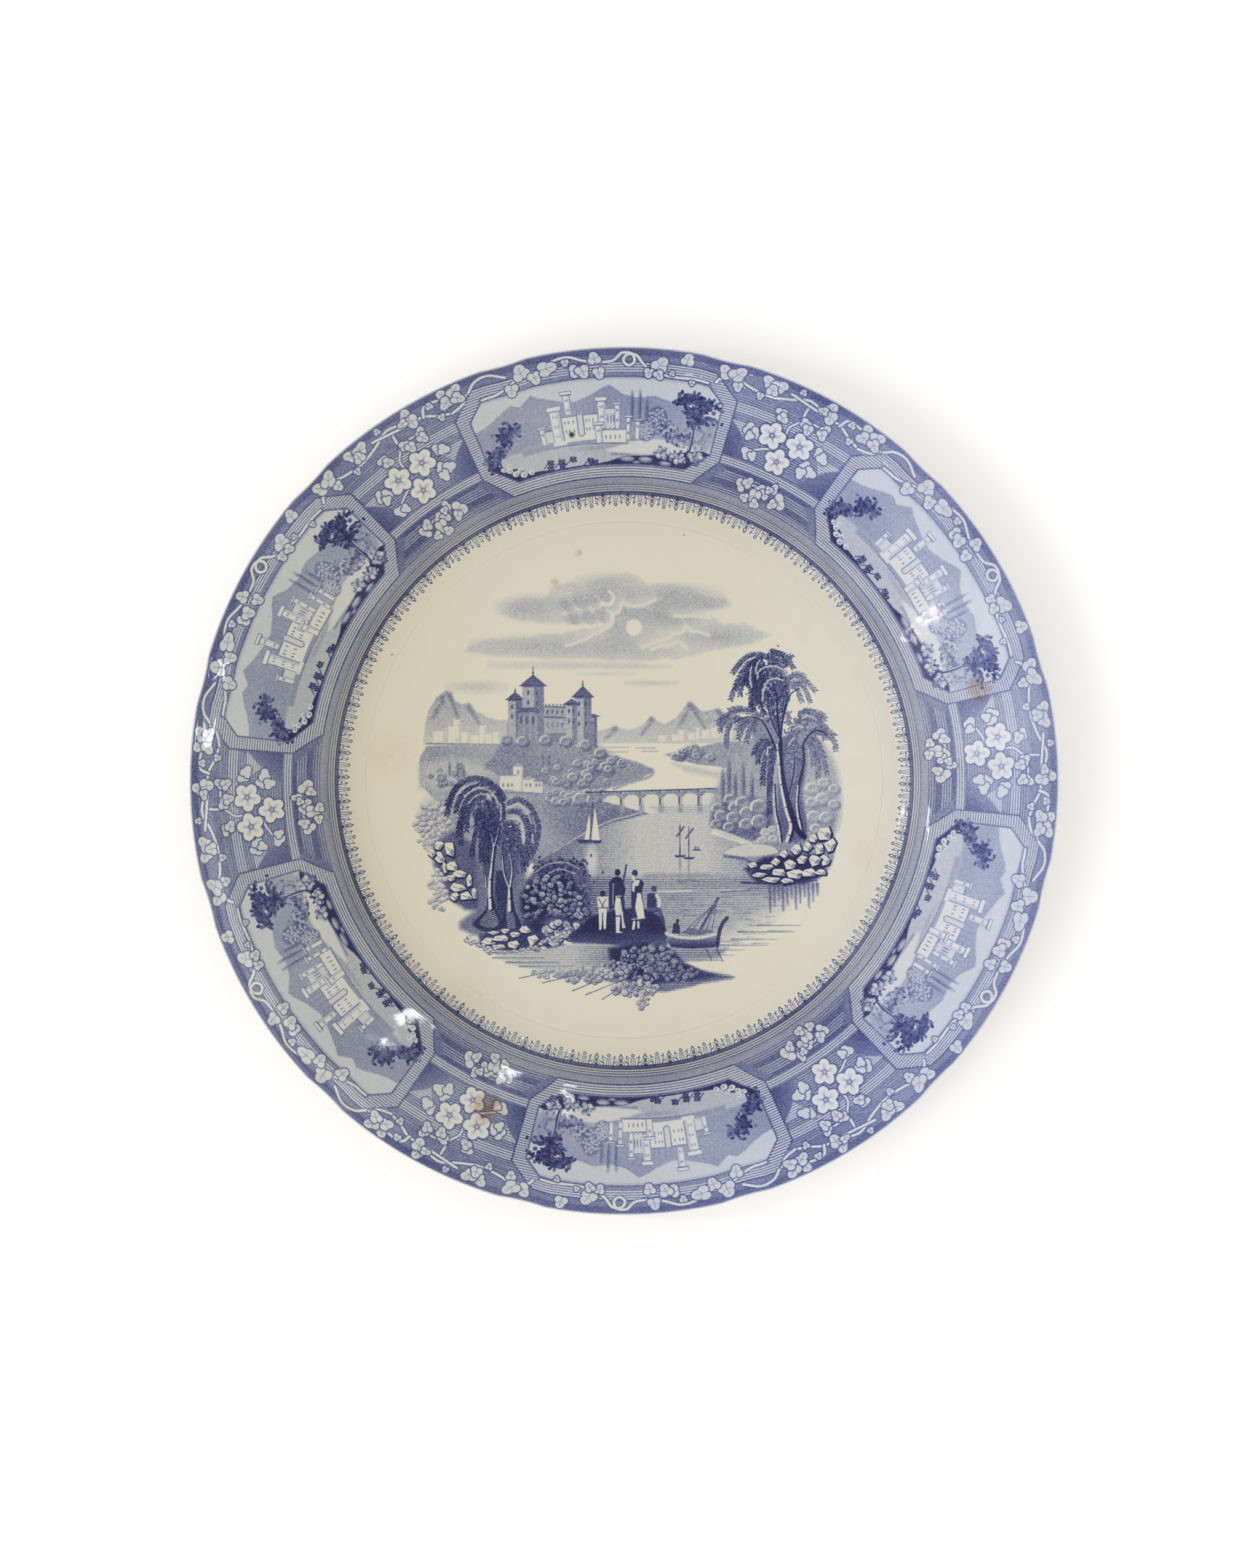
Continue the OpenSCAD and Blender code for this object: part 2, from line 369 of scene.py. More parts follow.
def castle(s):
    """The castle on its hill: towers, curtain walls and a turret."""
    s.box(-37.6, 12.4, -12.2, 18.5, 0.36)
    for x in np.arange(-36.5, -12, 2.1):
        s.box(x, 12.6, x + 0.7, 18.2, 0.26)
    tower(s, -35.2, 12.4, 4.2, 25.6, 2.2, 0.36, finial=1.2)
    tower(s, -11.6, 11.2, 2.2, 20.6, 0.7, 0.42, finial=0, windows=1)
    s.box(-26.5, 13, -17, 23.6, 0.28)
    for x in np.arange(-26.2, -20, 1.1):
        s.box(x, 23.6, x + 0.6, 24.3, 0.4)
    s.line(-26.5, 23.5, -17, 23.2, 0.4, 0.6)
    s.line(-26.5, 20.4, -18, 20, 0.5, 0.58)
    for x in np.arange(-25.5, -18, 1.5):
        s.dab(x, 21.9, 0.28, 0.7, 0, 0.62)
        s.dab(x, 18, 0.26, 0.8, 0, 0.5)
    s.box(-25.6, 13, -18.4, 15.6, 0.44)
    tower(s, -14.8, 11.4, 5.2, 26.4, 3.2, 0.34, finial=1.6, windows=3)
    tower(s, -18.2, 12, 3.4, 24.2, 1.6, 0.32, finial=0, windows=2)
    tower(s, -29.8, 13.2, 6.6, 29.8, 3.2, 0.34, finial=2.4, windows=3)
    s.area([(-35, 21.6), (-28, 21.8), (-28.6, 23.2), (-34, 23.2)], 0.58)
    s.box(-34.4, 12.6, -28.4, 21.6, 0.38)
    for x in (-33.4, -31.6, -29.8):
        s.dab(x, 19.4, 0.45, 1.2, 0, 0.62)
        s.line(x + 0.9, 13.4, x + 0.9, 21, 0.3, 0.26)
    clumps(s, [(x, y, 1.9) for x,
               y in ((-38, 13.6), (-33, 13), (-26, 13.4), (-20, 13), (-14, 12), (-9.6, 9.4))], 0.46)
    s.dab(-12, 14.4, 1.0, 3.4, 0, 0.46, soft=1.2)


def house(s):
    """A low pale house with a gabled tower and a side wing."""
    s.box(-39.8, -1.6, -34.8, 2.6, 0.06)
    s.box(-35.8, -2, -32.8, 5.4, 0.05)
    s.box(-33.4, -2, -32.8, 5.4, 0.2)
    s.area([(-36.2, 5.4), (-32.4, 5.4), (-34.3, 6.8)], 0.3)
    s.box(-32.8, -2.2, -29.6, 1.4, 0.05)
    s.area([(-33, 1.4), (-29.4, 1.4), (-31.2, 2.8)], 0.26)
    s.box(-29.6, -2.6, -27, 0.8, 0.07)
    s.line(-40, 2.7, -34.8, 2.7, 0.35, 0.36)
    for x in (-38.8, -37.4, -36.2, -31.8, -30.6, -28.8, -27.8):
        s.dab(x, -0.2, 0.3, 0.6, 0, 0.42)
    s.dab(-34.3, 3.6, 0.3, 0.8, 0, 0.4)
    s.line(-40, -2.3, -27, -2.9, 0.5, 0.4)


def river(s):
    """The pale river winding in from the left of the far shore."""
    water = [(-9, 12), (9, 12.4), (8, 10.6), (9.2, 8.8), (13, 7.2), (20, 5.6), (27, 4.6), (27, -2),
             (-6, -2), (-5, -0.6), (2, 1.6), (5.6, 3.4), (6, 4.8), (2, 7.4), (-4, 9)]
    s.blob(water, BARE, soft=0.4)
    s.area([(12, 6.6), (27, 3.6), (27, 1.4), (16, 4)], 0.14, soft=1.6)
    for x0, x1, y in ((-8, -1, 11.2), (1, 7, 11), (3, 8, 10), (-7, -1, 9.8)):
        s.line(x0, y, x1, y, 0.3, 0.26, soft=0.3)
    s.bend([(5.8, 4.6), (6.4, 3.8), (5, 2.2), (-1, 0.4), (-5.4, -1.4)], 0.7, 0.36, soft=0.9)


NEAR_GROUND = [
    (-58, -4), (-44, -4), (-30, -3.4), (-14, -2.6), (-9, -4.6), (-4, -6), (2, -7.4), (5.6, -8.6),
    (-1, -10.4), (-6.4, -11.6), (-14.4, -15), (-21.8, -19.6), (-28.6, -23.2), (-34, -26), (-44, -30),
    (-54, -24), (-58, -14),
]


def near_bank(s):
    """The shaded ground left of the lake, down to the bushes."""
    tone = blend_tone(0.3, 0.46, (-34, -8), (-8, -16))
    s.area(NEAR_GROUND, lambda x, y: tone(x, y) * (1 + 0.22 * np.cos((x * 0.45 + y) * 10.5)), soft=0.6)
    s.dab(-34, -13, 14, 5, -25, 0.24, soft=6)
    shore = smooth([(5.6, -8.4), (-1, -10.6), (-6.4, -12), (-14.4, -15.6), (-21.8, -20.2), (-28.6, -24)])
    s.stroke(shore, 1.4, 0.58, soft=1.2)
    s.stroke(shore + (0.6, 1.2), 0.4, 0.12, soft=0.4)
    rng = np.random.default_rng(9)
    for x, y in rng.uniform((-25, -6), (-9, -2.2), (26, 2)):
        round_tree(s, x, y, rng.uniform(0.9, 1.6), 0.4)
    clumps(s, ((-15.6, -4.4, 2.4), (-11.6, -4.6, 2.2)), 0.4)


def bridge(s):
    """A level bridge on piers, with low arches between them and its reflection below."""
    s.area([(-9, -2.6), (27, -1.4), (27, -9), (6, -9), (-4, -6.4), (-9, -5)], 0.05, soft=0.3)
    s.area([(5, -6.6), (27, -6), (27, -9.6), (10, -9.8)], ruled(0.16, 0.7), soft=0.6)
    s.area([(-13.8, -3.3), (27, -2.1), (27, -1.5), (-13.8, -2.4)], 0.34)
    s.line(-13.8, -2.4, 27, -1.2, 0.35, 0.74)
    s.line(-13, -3.4, 27, -2.3, 0.25, 0.4)
    for x in (-9.2, -3.2, 2.6, 8.6, 14.4, 20.2, 26):
        level = -2.4 + (x + 13.8) * 0.03
        s.box(x - 0.2, -6.4, x + 0.9, level - 0.2, 0.2)
        s.box(x - 0.4, -6.4, x + 0.1, level - 0.2, 0.66)
        s.area([(x - 2, level - 0.8), (x + 2.4, level - 0.8), (x + 0.9, level - 2.2),
                (x - 0.4, level - 2.2)], 0.36)
        s.dab(x + 0.3, -7.4, 0.8, 1.6, 0, 0.3, soft=0.9)
    s.area([(-12, -5.2), (-3, -6.4), (-9, -8), (-14, -6)], 0.4, soft=0.7)


LAKE_EDGE = [
    (5.6, -8.6), (27, -9), (25, -12), (24, -15), (29, -16.4), (36, -19), (42, -22), (56, -28), (58, -32),
    (55, -36), (52, -40), (46, -44), (40, -48), (36, -51), (28, -54), (20, -55), (2, -50), (-14, -42),
    (-18, -32), (-30, -25), (-28.6, -23.2), (-21.8, -19.6), (-14.4, -15), (-6.4, -11.6), (-1, -10.4),
]


def lake(s):
    """Still water, pale in the moon's path and darker towards the shores and the front."""

    def tone(x, y):
        left = np.clip((2 - x) / 26, 0, 1)
        right = np.clip((x - 22) / 16, 0, 1) * np.clip((y + 34) / 8, 0, 1)
        corner = 0.08 * np.clip((x - 6) / 30, 0, 1) * np.clip((-30 - y) / 6, 0, 1)
        front = 0.19 * np.clip((-27 - y) / 2, 0, 1) - corner
        level = 0.13 + 0.34 * left + 0.22 * right + front
        fade = np.clip((57 - np.hypot(x - 2, (y + 16) * 1.5)) / 10, 0, 1)
        depth = np.where(y > -27, 0.3, 0.55)
        return level * fade * (1 + depth * np.cos(y * 2 * math.pi / 0.7))

    s.area(LAKE_EDGE, tone, soft=0.8)
    s.stroke([(4, -27.6), (20, -27.4), (30, -27.8)], 1.2, 0.3, soft=1.4)
    s.stroke([(8, -32.4), (24, -32), (34, -31.8)], 0.4, 0.05, soft=0.3)
    s.line(27, -32.4, 36, -32, 0.4, 0.6, end_width=0.2, soft=0.3)


def ripples(s):
    """Short ripples on the front of the lake, the shade below its rocks and their reflection."""
    rng = np.random.default_rng(6)
    for _ in range(90):
        x, y = rng.uniform(8, 42), rng.uniform(-50, -29)
        if x + abs(y + 38) * 0.8 < 48:
            s.stroke([(x, y), (x + rng.uniform(2, 8), y)], 0.28, rng.uniform(0.3, 0.52), end_width=0.12,
                     soft=0.2, strength=0.8)
    for x0, x1, y in ((18, 34, -50), (26, 41, -48.6), (30, 44, -46.8), (16, 31, -51.6), (12, 28, -53.2),
                      (32, 49, -44.6), (38, 51, -42.6)):
        s.line(x0, y, x1, y, 0.45, 0.46, end_width=0.1, soft=0.3)
    s.area([(10, -49.4), (29, -49.4), (26, -52.6), (12, -53.6)], ruled(0.42, 0.66, 0, 0.6), soft=1.6)
    for k, x in enumerate(np.arange(41.6, 57, 1.3)):
        s.stroke([(x, -30), (x + 0.2, -38.5 + 1.7 * (k % 3) + 0.12 * (x - 42))], 1.0, 0.56, end_width=0.3,
                 soft=0.8)


def boats(s):
    """A sailing boat and two small masted boats with their reflections."""
    s.area([(-14.4, -17.2), (-12.8, -8.4), (-12.4, -17.2)], 0.02)
    s.area([(-12.2, -17.2), (-11.2, -6.6), (-9.6, -17.2)], 0.02)
    s.line(-12.6, -17, -11.8, -5.4, 0.4, 0.6)
    s.line(-12.4, -10, -15.4, -5.4, 0.25, 0.44)
    s.line(-12, -8, -9.4, -4.6, 0.25, 0.44)
    s.area([(-17, -16.6), (-9, -16.9), (-9.6, -17.8), (-15.8, -17.8)], 0.72)
    s.dab(-12.2, -23, 1.8, 4.4, 0, 0.1, soft=1.6)
    for x, top, foot in ((14.5, -12.4, -21.4), (17.2, -12.8, -22)):
        s.line(x, foot, x, top, 0.3, 0.7)
        s.line(x - 0.9, foot + 5.8, x + 1.2, foot + 8.6, 0.55, 0.55)
        s.area([(x - 1.8, foot), (x + 1.9, foot), (x + 1.1, foot - 0.6), (x - 1.1, foot - 0.6)], 0.74)
        s.line(x, foot - 1, x, foot - 7, 0.5, 0.34, end_width=0.2, soft=0.5)
    s.line(18.4, -19.8, 20.6, -19.8, 0.35, 0.7)
    s.line(19.1, -19.6, 19.1, -18.8, 0.35, 0.7)
    s.line(19.9, -19.6, 19.9, -18.9, 0.35, 0.7)


HULL = [
    (10.2, -44.8), (13, -45.5), (20, -45.9), (25.8, -44.6), (26.2, -47.4), (25, -49.2), (18, -49.6),
    (12, -49.2), (10.8, -47.4),
]


def rowing_boat(s):
    """A boat with a lowered lateen sail and one small figure."""
    s.area(HULL, blend_tone(0.4, 0.95, (0, -45.8), (0, -49.2)))
    s.bend([(10.3, -45), (14, -46.1), (20, -46.4), (25.6, -45.2)], 0.9, 0.1)
    s.bend([(28.7, -40.4), (27.4, -42), (26.4, -44.6), (25.8, -48.8)], 1.1, 0.86)
    s.line(26, -34.4, 20.4, -44.4, 0.8, 0.7, end_width=0.9)
    for x in (16.4, 18, 22.4, 24.2):
        s.line(25.6, -35.4, x, -44, 0.28, 0.6)
    s.area([(14.6, -45), (17, -43.4), (20, -43.8), (23, -43.8), (25, -44.6), (20, -45.6)],
           ruled(0.6, 0.6, 60))
    garment(s, 13.4, -45.6, [(-1.3, 0.6), (1.2, 0.4), (1, 3), (0.4, 4), (-0.8, 3.6)], 0.88)
    s.dab(13.8, -41.2, 0.55, tone=0.84)
    for x in (22.4, 25.6):
        s.line(x, -49.8, x + 1.8, -53.4, 0.6, 0.66, end_width=0.2)


def garment(s, x, y, points, tone):
    """A piece of clothing, its outline given from a person's foot."""
    s.area([(x + dx, y + dy) for dx, dy in points], tone)


MOUND = [
    (-19, -46), (-14.6, -42), (-12.4, -40), (-9, -39), (-5.3, -38), (0.2, -37.4), (4.5, -37.8), (7, -39),
    (9, -40.6), (10, -43), (10.6, -46), (10, -49), (2, -49.4), (-8, -48.4), (-18, -48),
]


def dark_mound(s):
    """The mound that four tiny people stand on, all seen from behind and with no features."""
    tone = blend_tone(0.96, 0.6, (0, -43.5), (0, -49))
    s.blob(MOUND, lambda x, y: tone(x, y) * (1 + 0.14 * np.cos(y * 9.4)), soft=0.7)


def child(s):
    """The smallest figure, in a pale top and crossed braces."""
    garment(s, -8.8, -44.2, [(-1.5, 7), (1.5, 7), (1.7, 10), (0, 10.6), (-1.7, 10)], 0.06)
    garment(s, -8.8, -44.2, [(-1.3, 7.2), (1.3, 7.2), (1, 0.6), (0.3, 0.4), (0, 5), (-0.4, 0.2),
                             (-1.1, 0.3)], 0.05)
    s.line(-10, -34.6, -8.4, -37.2, 0.25, 0.7)
    s.line(-7.8, -34.6, -9.2, -37.2, 0.25, 0.7)
    s.line(-10.3, -37.3, -7.4, -37.3, 0.3, 0.8)
    s.line(-8.8, -38.8, -8.9, -43.4, 0.3, 0.8)
    s.dab(-8.8, -33, 0.85, 0.95, 0, 0.86)


def staff_bearer(s):
    """The tallest figure, in a dark coat, with a staff on the shoulder."""
    s.line(-1.7, -24.4, -2.6, -29.6, 0.5, 0.74)
    garment(s, -4.4, -45, [(-0.9, 11), (1, 11), (0.9, 5), (0.6, 0.7), (1.8, 0.2), (-0.4, 0.1), (-0.5, 5)],
            0.05)
    garment(s, -4.4, -45, [(0.5, 9), (1.5, 9), (2, 3.4), (2.6, 1.6), (1.4, 1.6), (1.3, 4)], 0.12)
    s.line(-4.9, -39.8, -3.4, -39.8, 0.4, 0.8)
    garment(s, -4.4, -45, [(-2.5, 15.4), (-1.4, 16.8), (0, 17.2), (1.3, 16.6), (2.5, 13.4), (2, 11),
                           (2.4, 6.8), (1.5, 6.6), (1, 10.6), (-0.4, 11), (-1, 7.6), (-2.4, 7.2)], 0.86)
    s.line(-5.6, -30, -5.8, -36.4, 0.5, 0.4)
    s.line(-5, -33.9, -3.2, -33.7, 0.4, 0.2)
    s.dab(-4.3, -26.6, 0.85, 1.05, 0, 0.88)


def apron_wearer(s):
    """A figure in a dark dress, pale apron and shawl."""
    garment(s, 1.6, -44.2, [(-1.7, 14.8), (-0.6, 15.6), (1, 15.6), (2, 14.4), (1.4, 11.4), (2, 7),
                            (2.6, 3.4), (1.2, 2.6), (-1.4, 2.8), (-1.8, 8)], 0.84)
    garment(s, 1.6, -44.2, [(0, 11.4), (1.1, 11.4), (1.9, 7), (2.3, 3.8), (0.2, 3.4), (-0.6, 7)], 0.04)
    garment(s, 1.6, -44.2, [(-1.5, 14.4), (-0.5, 15.4), (0.9, 15.3), (0.4, 13.6), (-0.7, 13.4),
                            (-0.8, 11.6), (-1.6, 12)], 0.08)
    s.line(-0.1, -40.8, 3.9, -40.3, 0.25, 0.05)
    s.line(0.7, -41.6, 0.4, -43.6, 0.8, 0.06)
    s.line(1.9, -41.6, 2, -43.2, 0.7, 0.1)
    s.dab(0.9, -26.8, 0.85, 1.05, 0, 0.8)
    s.dab(0.5, -28.3, 0.6, 0.9, 0, 0.1)


def sitter(s):
    """A seated figure with one pale arm."""
    garment(s, 6.6, -37.6, [(-2, 0), (-2, 4.4), (-0.6, 4.8), (0.8, 4.6), (0.8, 0)], 0.82)
    garment(s, 6.6, -37.6, [(-2.2, 0.3), (2, 0.6), (3.4, -3.6), (2.6, -3.8), (1, -1.2), (-2, -0.8)], 0.66)
    s.stroke([(7.4, -33.4), (8.4, -35.4), (8.2, -36.8)], 0.9, 0.07)
    s.line(9.4, -40, 9.8, -42.2, 0.5, 0.74)
    s.dab(6.7, -31.5, 0.85, 0.95, 0, 0.72)


def leafy(s, centre, spread, count, size, light, dark, seed, back=True):
    """A bush: pale leaves over dark gaps, set out evenly in a spiral with some play."""
    rng = np.random.default_rng(seed)
    cx, cy = centre
    if back:
        s.dab(cx, cy, spread[0], spread[1], 0, dark, soft=1.4)
    order = rng.permutation(count)
    for k in order:
        turn = k * 2.39996 + rng.uniform(-0.25, 0.25)
        out = math.sqrt((k + 0.5) / count)
        x, y = cx + spread[0] * out * math.cos(turn), cy + spread[1] * out * math.sin(turn)
        lit = light + (dark - light) * 0.35 * rng.uniform(0, 1) ** 1.5
        big = size * rng.uniform(0.75, 1.15)
        lean = rng.uniform(-50, 50)
        s.dab(x + 0.12, y - 0.22, big * 1.2, big, lean, dark, soft=0.15)
        s.dab(x, y, big, big * 0.78, lean, lit, soft=0.25)
        s.dab(x + big * 0.25, y - big * 0.3, big * 0.5, big * 0.28, lean, lit + 0.2, soft=0.3)


def droop(s, points, leaf, tone, seed):
    """A hanging branch: a thin stem with close rows of small leaves each side."""
    rng = np.random.default_rng(seed)
    path = even_line(points, leaf * 0.62)
    s.stroke(path, leaf * 0.5, tone * 0.8, end_width=leaf * 0.3)
    way = np.gradient(path, axis=0)
    for (x, y), (dx, dy) in zip(path, way):
        lean = math.degrees(math.atan2(dy, dx))
        for side in (-1, 1):
            off = math.radians(lean + side * (52 + rng.uniform(-14, 14)))
            px, py = x + math.cos(off) * leaf * 0.7, y + math.sin(off) * leaf * 0.7
            s.dab(px, py, leaf * 0.58, leaf * 0.22, math.degrees(off), tone * rng.uniform(0.8, 1.25),
                  soft=0.06)


def droops(s, paths, leaf, tone, seed):
    """Hanging branches, each with its own play of leaves."""
    for k, path in enumerate(paths):
        droop(s, path, leaf, tone, seed + k)


def even_line(points, step):
    """Points a step apart along a rounded line."""
    path = smooth(points, 8)
    along = np.r_[0, np.cumsum(np.hypot(*np.diff(path, axis=0).T))]
    at = np.arange(0, along[-1], step)
    return np.stack([np.interp(at, along, path[:, k]) for k in (0, 1)], 1)


def glints(s, paths, width):
    """Lit edges between rows of leaves."""
    for path in paths:
        for x, y in even_line(path, 0.5):
            s.dab(x, y, width * 0.62, width * 0.3, (x * 97 + y * 61) % 180, 0.1, soft=0.2)


def scatter(s, centre, spread, count, leaf, low, high, seed):
    """Loose small leaves thrown about a centre."""
    rng = np.random.default_rng(seed)
    for x, y in rng.normal(centre, spread, (count, 2)):
        s.dab(x, y, leaf * 0.6, leaf * 0.3, rng.uniform(30, 150), rng.uniform(low, high), soft=0.1)


def trunk(s, path, width, end_width):
    """A trunk, lit on the left and dark on the right, with a few dark knots."""
    path = smooth(path)
    s.stroke(path + (width * 0.3, 0), width, 0.92, end_width=end_width)
    s.stroke(path, width * 0.66, 0.06, end_width=end_width * 0.5, soft=0.1)
    for x, y in path[3::5]:
        s.dab(x + width * 0.1, y, width * 0.2, width * 0.14, 20, 0.7)


RIGHT_HAZE = [
    (30, 8), (38, 12), (46, 12), (52, 16), (58, 12), (62, 4), (63, -8), (60, -16), (48, -19), (38, -18),
    (28, -13), (24, -6), (27, 2),
]
RIGHT_BUSHES = [
    (26, -7.4, 2.2), (29.6, -4.6, 2), (31.4, -7, 2.4), (27, -9.6, 2.2), (33.6, -5.6, 2.6), (35.2, -9, 3),
    (30.8, -10.2, 2.4), (38.6, -7, 3.2), (34.6, -12.2, 2.4), (38.6, -11.4, 2.8), (25.6, -12, 1.8),
    (29.4, -13, 2),
]
PALE_BUSHES = (
    (54.6, -1.2, 2.4), (58, 0.4, 2), (61, -1.4, 1.8), (54.4, -5.4, 2), (57.6, -4.4, 2.4), (61, -6, 1.8),
    (55, -9.8, 2.4), (58.6, -10, 2.2), (55.6, -13.4, 2),
)
TALL_CROWN = (
    [(41.4, 38.4), (37, 39.2), (33.6, 37.6), (30.4, 33.6)],
    [(38.6, 38), (34.4, 35.6), (31.4, 30), (29.8, 25.6)],
    [(38, 36.6), (34.6, 33.4), (32.4, 30.8), (31.4, 28.8)],
    [(38.4, 36), (35.4, 33), (33.2, 30), (32.6, 26.8)], [(38.6, 37), (36, 34.6), (34.8, 32), (34.2, 29.8)],
    [(39.6, 38.2), (36.4, 36.6), (34.8, 33.4), (34.6, 30.6)],
    [(40, 36.8), (37.2, 34.4), (36, 31), (36, 26.8), (35.8, 21.6)],
    [(39.4, 35.4), (37, 32), (36.8, 27), (36.8, 21.4)],
    [(40.6, 35.6), (37.8, 33.2), (37.2, 29), (38.2, 24.6)], [(40, 33), (38.2, 29), (38.6, 24.4), (40, 21)],
    [(41, 39), (44, 39.6), (47, 37.4), (48.8, 35)], [(40.6, 37.6), (44.2, 38), (47, 36.2)],
    [(41, 36.6), (44, 36.8), (46, 35)], [(41.6, 40.6), (43, 40), (45.6, 39.2)],
    [(46.6, 38), (47.6, 38.8), (48.6, 38)],
)
TALL_CROWN_LIT = (
    [(37.9, 32.2), (38.2, 34), (40.4, 35.4), (43.4, 35.6), (46, 34.2), (46.6, 32.6)],
    [(39.4, 25.4), (39.8, 29), (41, 31.2), (43.2, 32), (45.6, 31.4)], [(36, 35.4), (35.6, 32), (36.2, 29)],
    [(38.4, 37.4), (37.6, 35.8), (37.4, 33.6)],
)
TALL_CROWN_RIGHT = (
    [(46.8, 31), (49, 32.8), (52, 31.8), (54, 29.6), (55.4, 28.2)],
    [(49, 30.6), (51.6, 29.6), (53, 27), (53.8, 24.8)], [(49, 29.4), (50, 28.4), (51.2, 25)],
    [(47.4, 32.2), (49.6, 33.4), (52.2, 32.6)], [(47.6, 30), (49.6, 31), (52.6, 30.4)],
    [(47, 22), (47.2, 20), (47.4, 18.4)], [(48, 29), (49.4, 30), (51.4, 30.4)],
)
TALL_CROWN_LEFT = (
    [(39, 20.6), (34.4, 22), (30, 21.6), (25.8, 18.8)], [(36, 21.8), (32.4, 23), (29, 22.2)],
    [(33.4, 20), (30, 18.6), (28.6, 15), (28.6, 11.4)],
    [(32.6, 20.4), (29, 20), (26.8, 17.4), (26.8, 15.8)], [(36, 20), (33.6, 17.4), (32, 13.6)],
    [(37.4, 20), (35.6, 17), (34.6, 13.2)], [(38, 19.8), (37, 18), (36.4, 16.2)],
    [(35, 19.8), (33, 18.4), (31.6, 16.4)],
)
TALL_CROWN_LOW = (
    [(42.4, 12.4), (39.4, 13), (37.4, 11), (36.8, 9)], [(42, 11.6), (39.6, 11), (38.2, 8.6), (38, 6.4)],
    [(42.6, 11.4), (40.6, 9), (39.6, 4), (39.5, -0.2)], [(43, 11), (41.8, 6), (41.4, -1), (41.6, -8.8)],
    [(43, 9), (42, 4), (41.8, -2)],
)
LEANING_CROWN = (
    [(50, 20.6), (53, 22.4), (56, 20.6), (58.4, 19.8)], [(52, 22), (55.6, 21.8), (58, 20.8)],
    [(49, 18.6), (52, 19.8), (56, 19), (58.6, 17)], [(53.4, 15.6), (57, 16.8), (60, 15.6), (61.4, 14.4)],
    [(54, 15.2), (58, 15.4), (61, 13), (61.5, 10.2)], [(54, 14.6), (56.6, 12), (58, 7), (58.9, 3.2)],
    [(53.4, 14.4), (55.6, 11), (56.2, 6), (56.2, 2)], [(53, 14), (54.2, 11), (54.8, 5.8)],
    [(55.6, 16), (57.6, 15), (58.2, 13.4)], [(49, 17.6), (47.6, 14), (46.8, 9.4)],
    [(49.6, 14), (48, 9), (47.2, 3)], [(50.6, 12), (49.6, 7), (49.2, 2)],
)
RIGHT_BRANCHES = (
    ([(44.8, 14), (44.2, 17.6), (43.8, 22), (43.7, 26.5), (42.5, 31)], 0.7),
    ([(44.9, 15), (45.4, 19), (46.1, 22.5), (47.9, 27.2), (50.4, 29)], 0.6),
    ([(43.6, 10.4), (41.4, 15.5), (39.2, 19.2), (35.9, 20.4), (33, 19.9), (31, 18.6)], 0.6),
    ([(50.5, 0), (51.9, 7), (51.7, 11.9), (53.7, 15.2), (56.3, 16.3), (59, 15)], 0.8),
    ([(47.2, -3.7), (48.3, 1), (49, 6), (49, 10)], 0.4),
    ([(44.6, 14), (42.6, 18), (41.2, 23), (41, 27)], 0.4),
)


def right_bushes(s):
    """Haze, poplars and rounded bushes on the right bank."""
    s.blob(RIGHT_HAZE + RIGHT_HAZE[:1], ruled(0.27, 0.6, 35, 0.25), soft=2.4)
    for x, y, h in ((27.4, -5, 10), (29.3, -5, 13.4), (31.2, -5, 8.6), (33.6, -6, 13), (36.2, -6, 9.4)):
        poplar(s, x, y, h, 1.4, 0.4)
    s.blob([(24, -8), (30, -4), (38, -4), (42, -8), (42, -15), (36, -17), (28, -15), (23.6, -12)], 0.5,
           soft=1.6)
    clumps(s, RIGHT_BUSHES, 0.46)
    clumps(s, PALE_BUSHES, 0.28)
    clumps(s, ((40.4, -14.6, 1.7), (42.4, -13.6, 1.3), (39.4, -17.2, 1.8), (42.6, -16.6, 1.5),
               (36, -18.8, 1.4)), 0.2)


def tall_crown(s):
    """The shaded hollow between the trunks, then the crown of the tall tree with its hanging branches."""
    s.blob([(44.6, 13), (47, 15), (50, 16.6), (52.4, 12), (52.6, 4), (51.4, -3), (53, -14), (51, -17.6),
            (45.6, -17), (44, -8), (44.2, 4)], ruled(0.56, 0.5, 65, 0.2), soft=1.0)
    s.blob([(35.6, 16), (38, 19.6), (42.4, 20.4), (45, 17), (45.4, 12), (42.6, 10.6), (38, 11.4)],
           ruled(0.42, 0.55, 60, 0.3), soft=1.2)
    s.blob([(37.4, 31), (38.2, 34.2), (41, 36.2), (44.6, 36), (46.8, 33.4), (47.6, 28), (46.4, 22),
            (45, 17.4), (43.4, 17), (41, 22.4), (38.6, 25.4), (37.2, 28)], ruled(0.62, 0.55, 80, 0.28),
           soft=0.8)
    scatter(s, (42.4, 29), (2.4, 3.6), 150, 0.8, 0.2, 1.0, 41)
    scatter(s, (43.2, 22.6), (1.3, 2.6), 70, 0.7, 0.2, 0.95, 42)
    droops(s, TALL_CROWN[:4], 0.85, 0.7, 100)
    droops(s, TALL_CROWN[4:10], 0.85, 0.84, 104)
    droops(s, TALL_CROWN[10:], 0.85, 0.7, 110)
    glints(s, TALL_CROWN_LIT, 0.7)
    droops(s, TALL_CROWN_RIGHT, 0.8, 0.5, 140)
    droops(s, TALL_CROWN_LEFT, 0.85, 0.62, 160)
    glints(s, [[(37, 21.4), (33, 21.6), (29.6, 20.4)]], 0.5)
    droops(s, TALL_CROWN_LOW, 0.85, 0.78, 180)
    glints(s, [[(40.8, 9), (41, 11), (42.4, 11.2)]], 0.7)


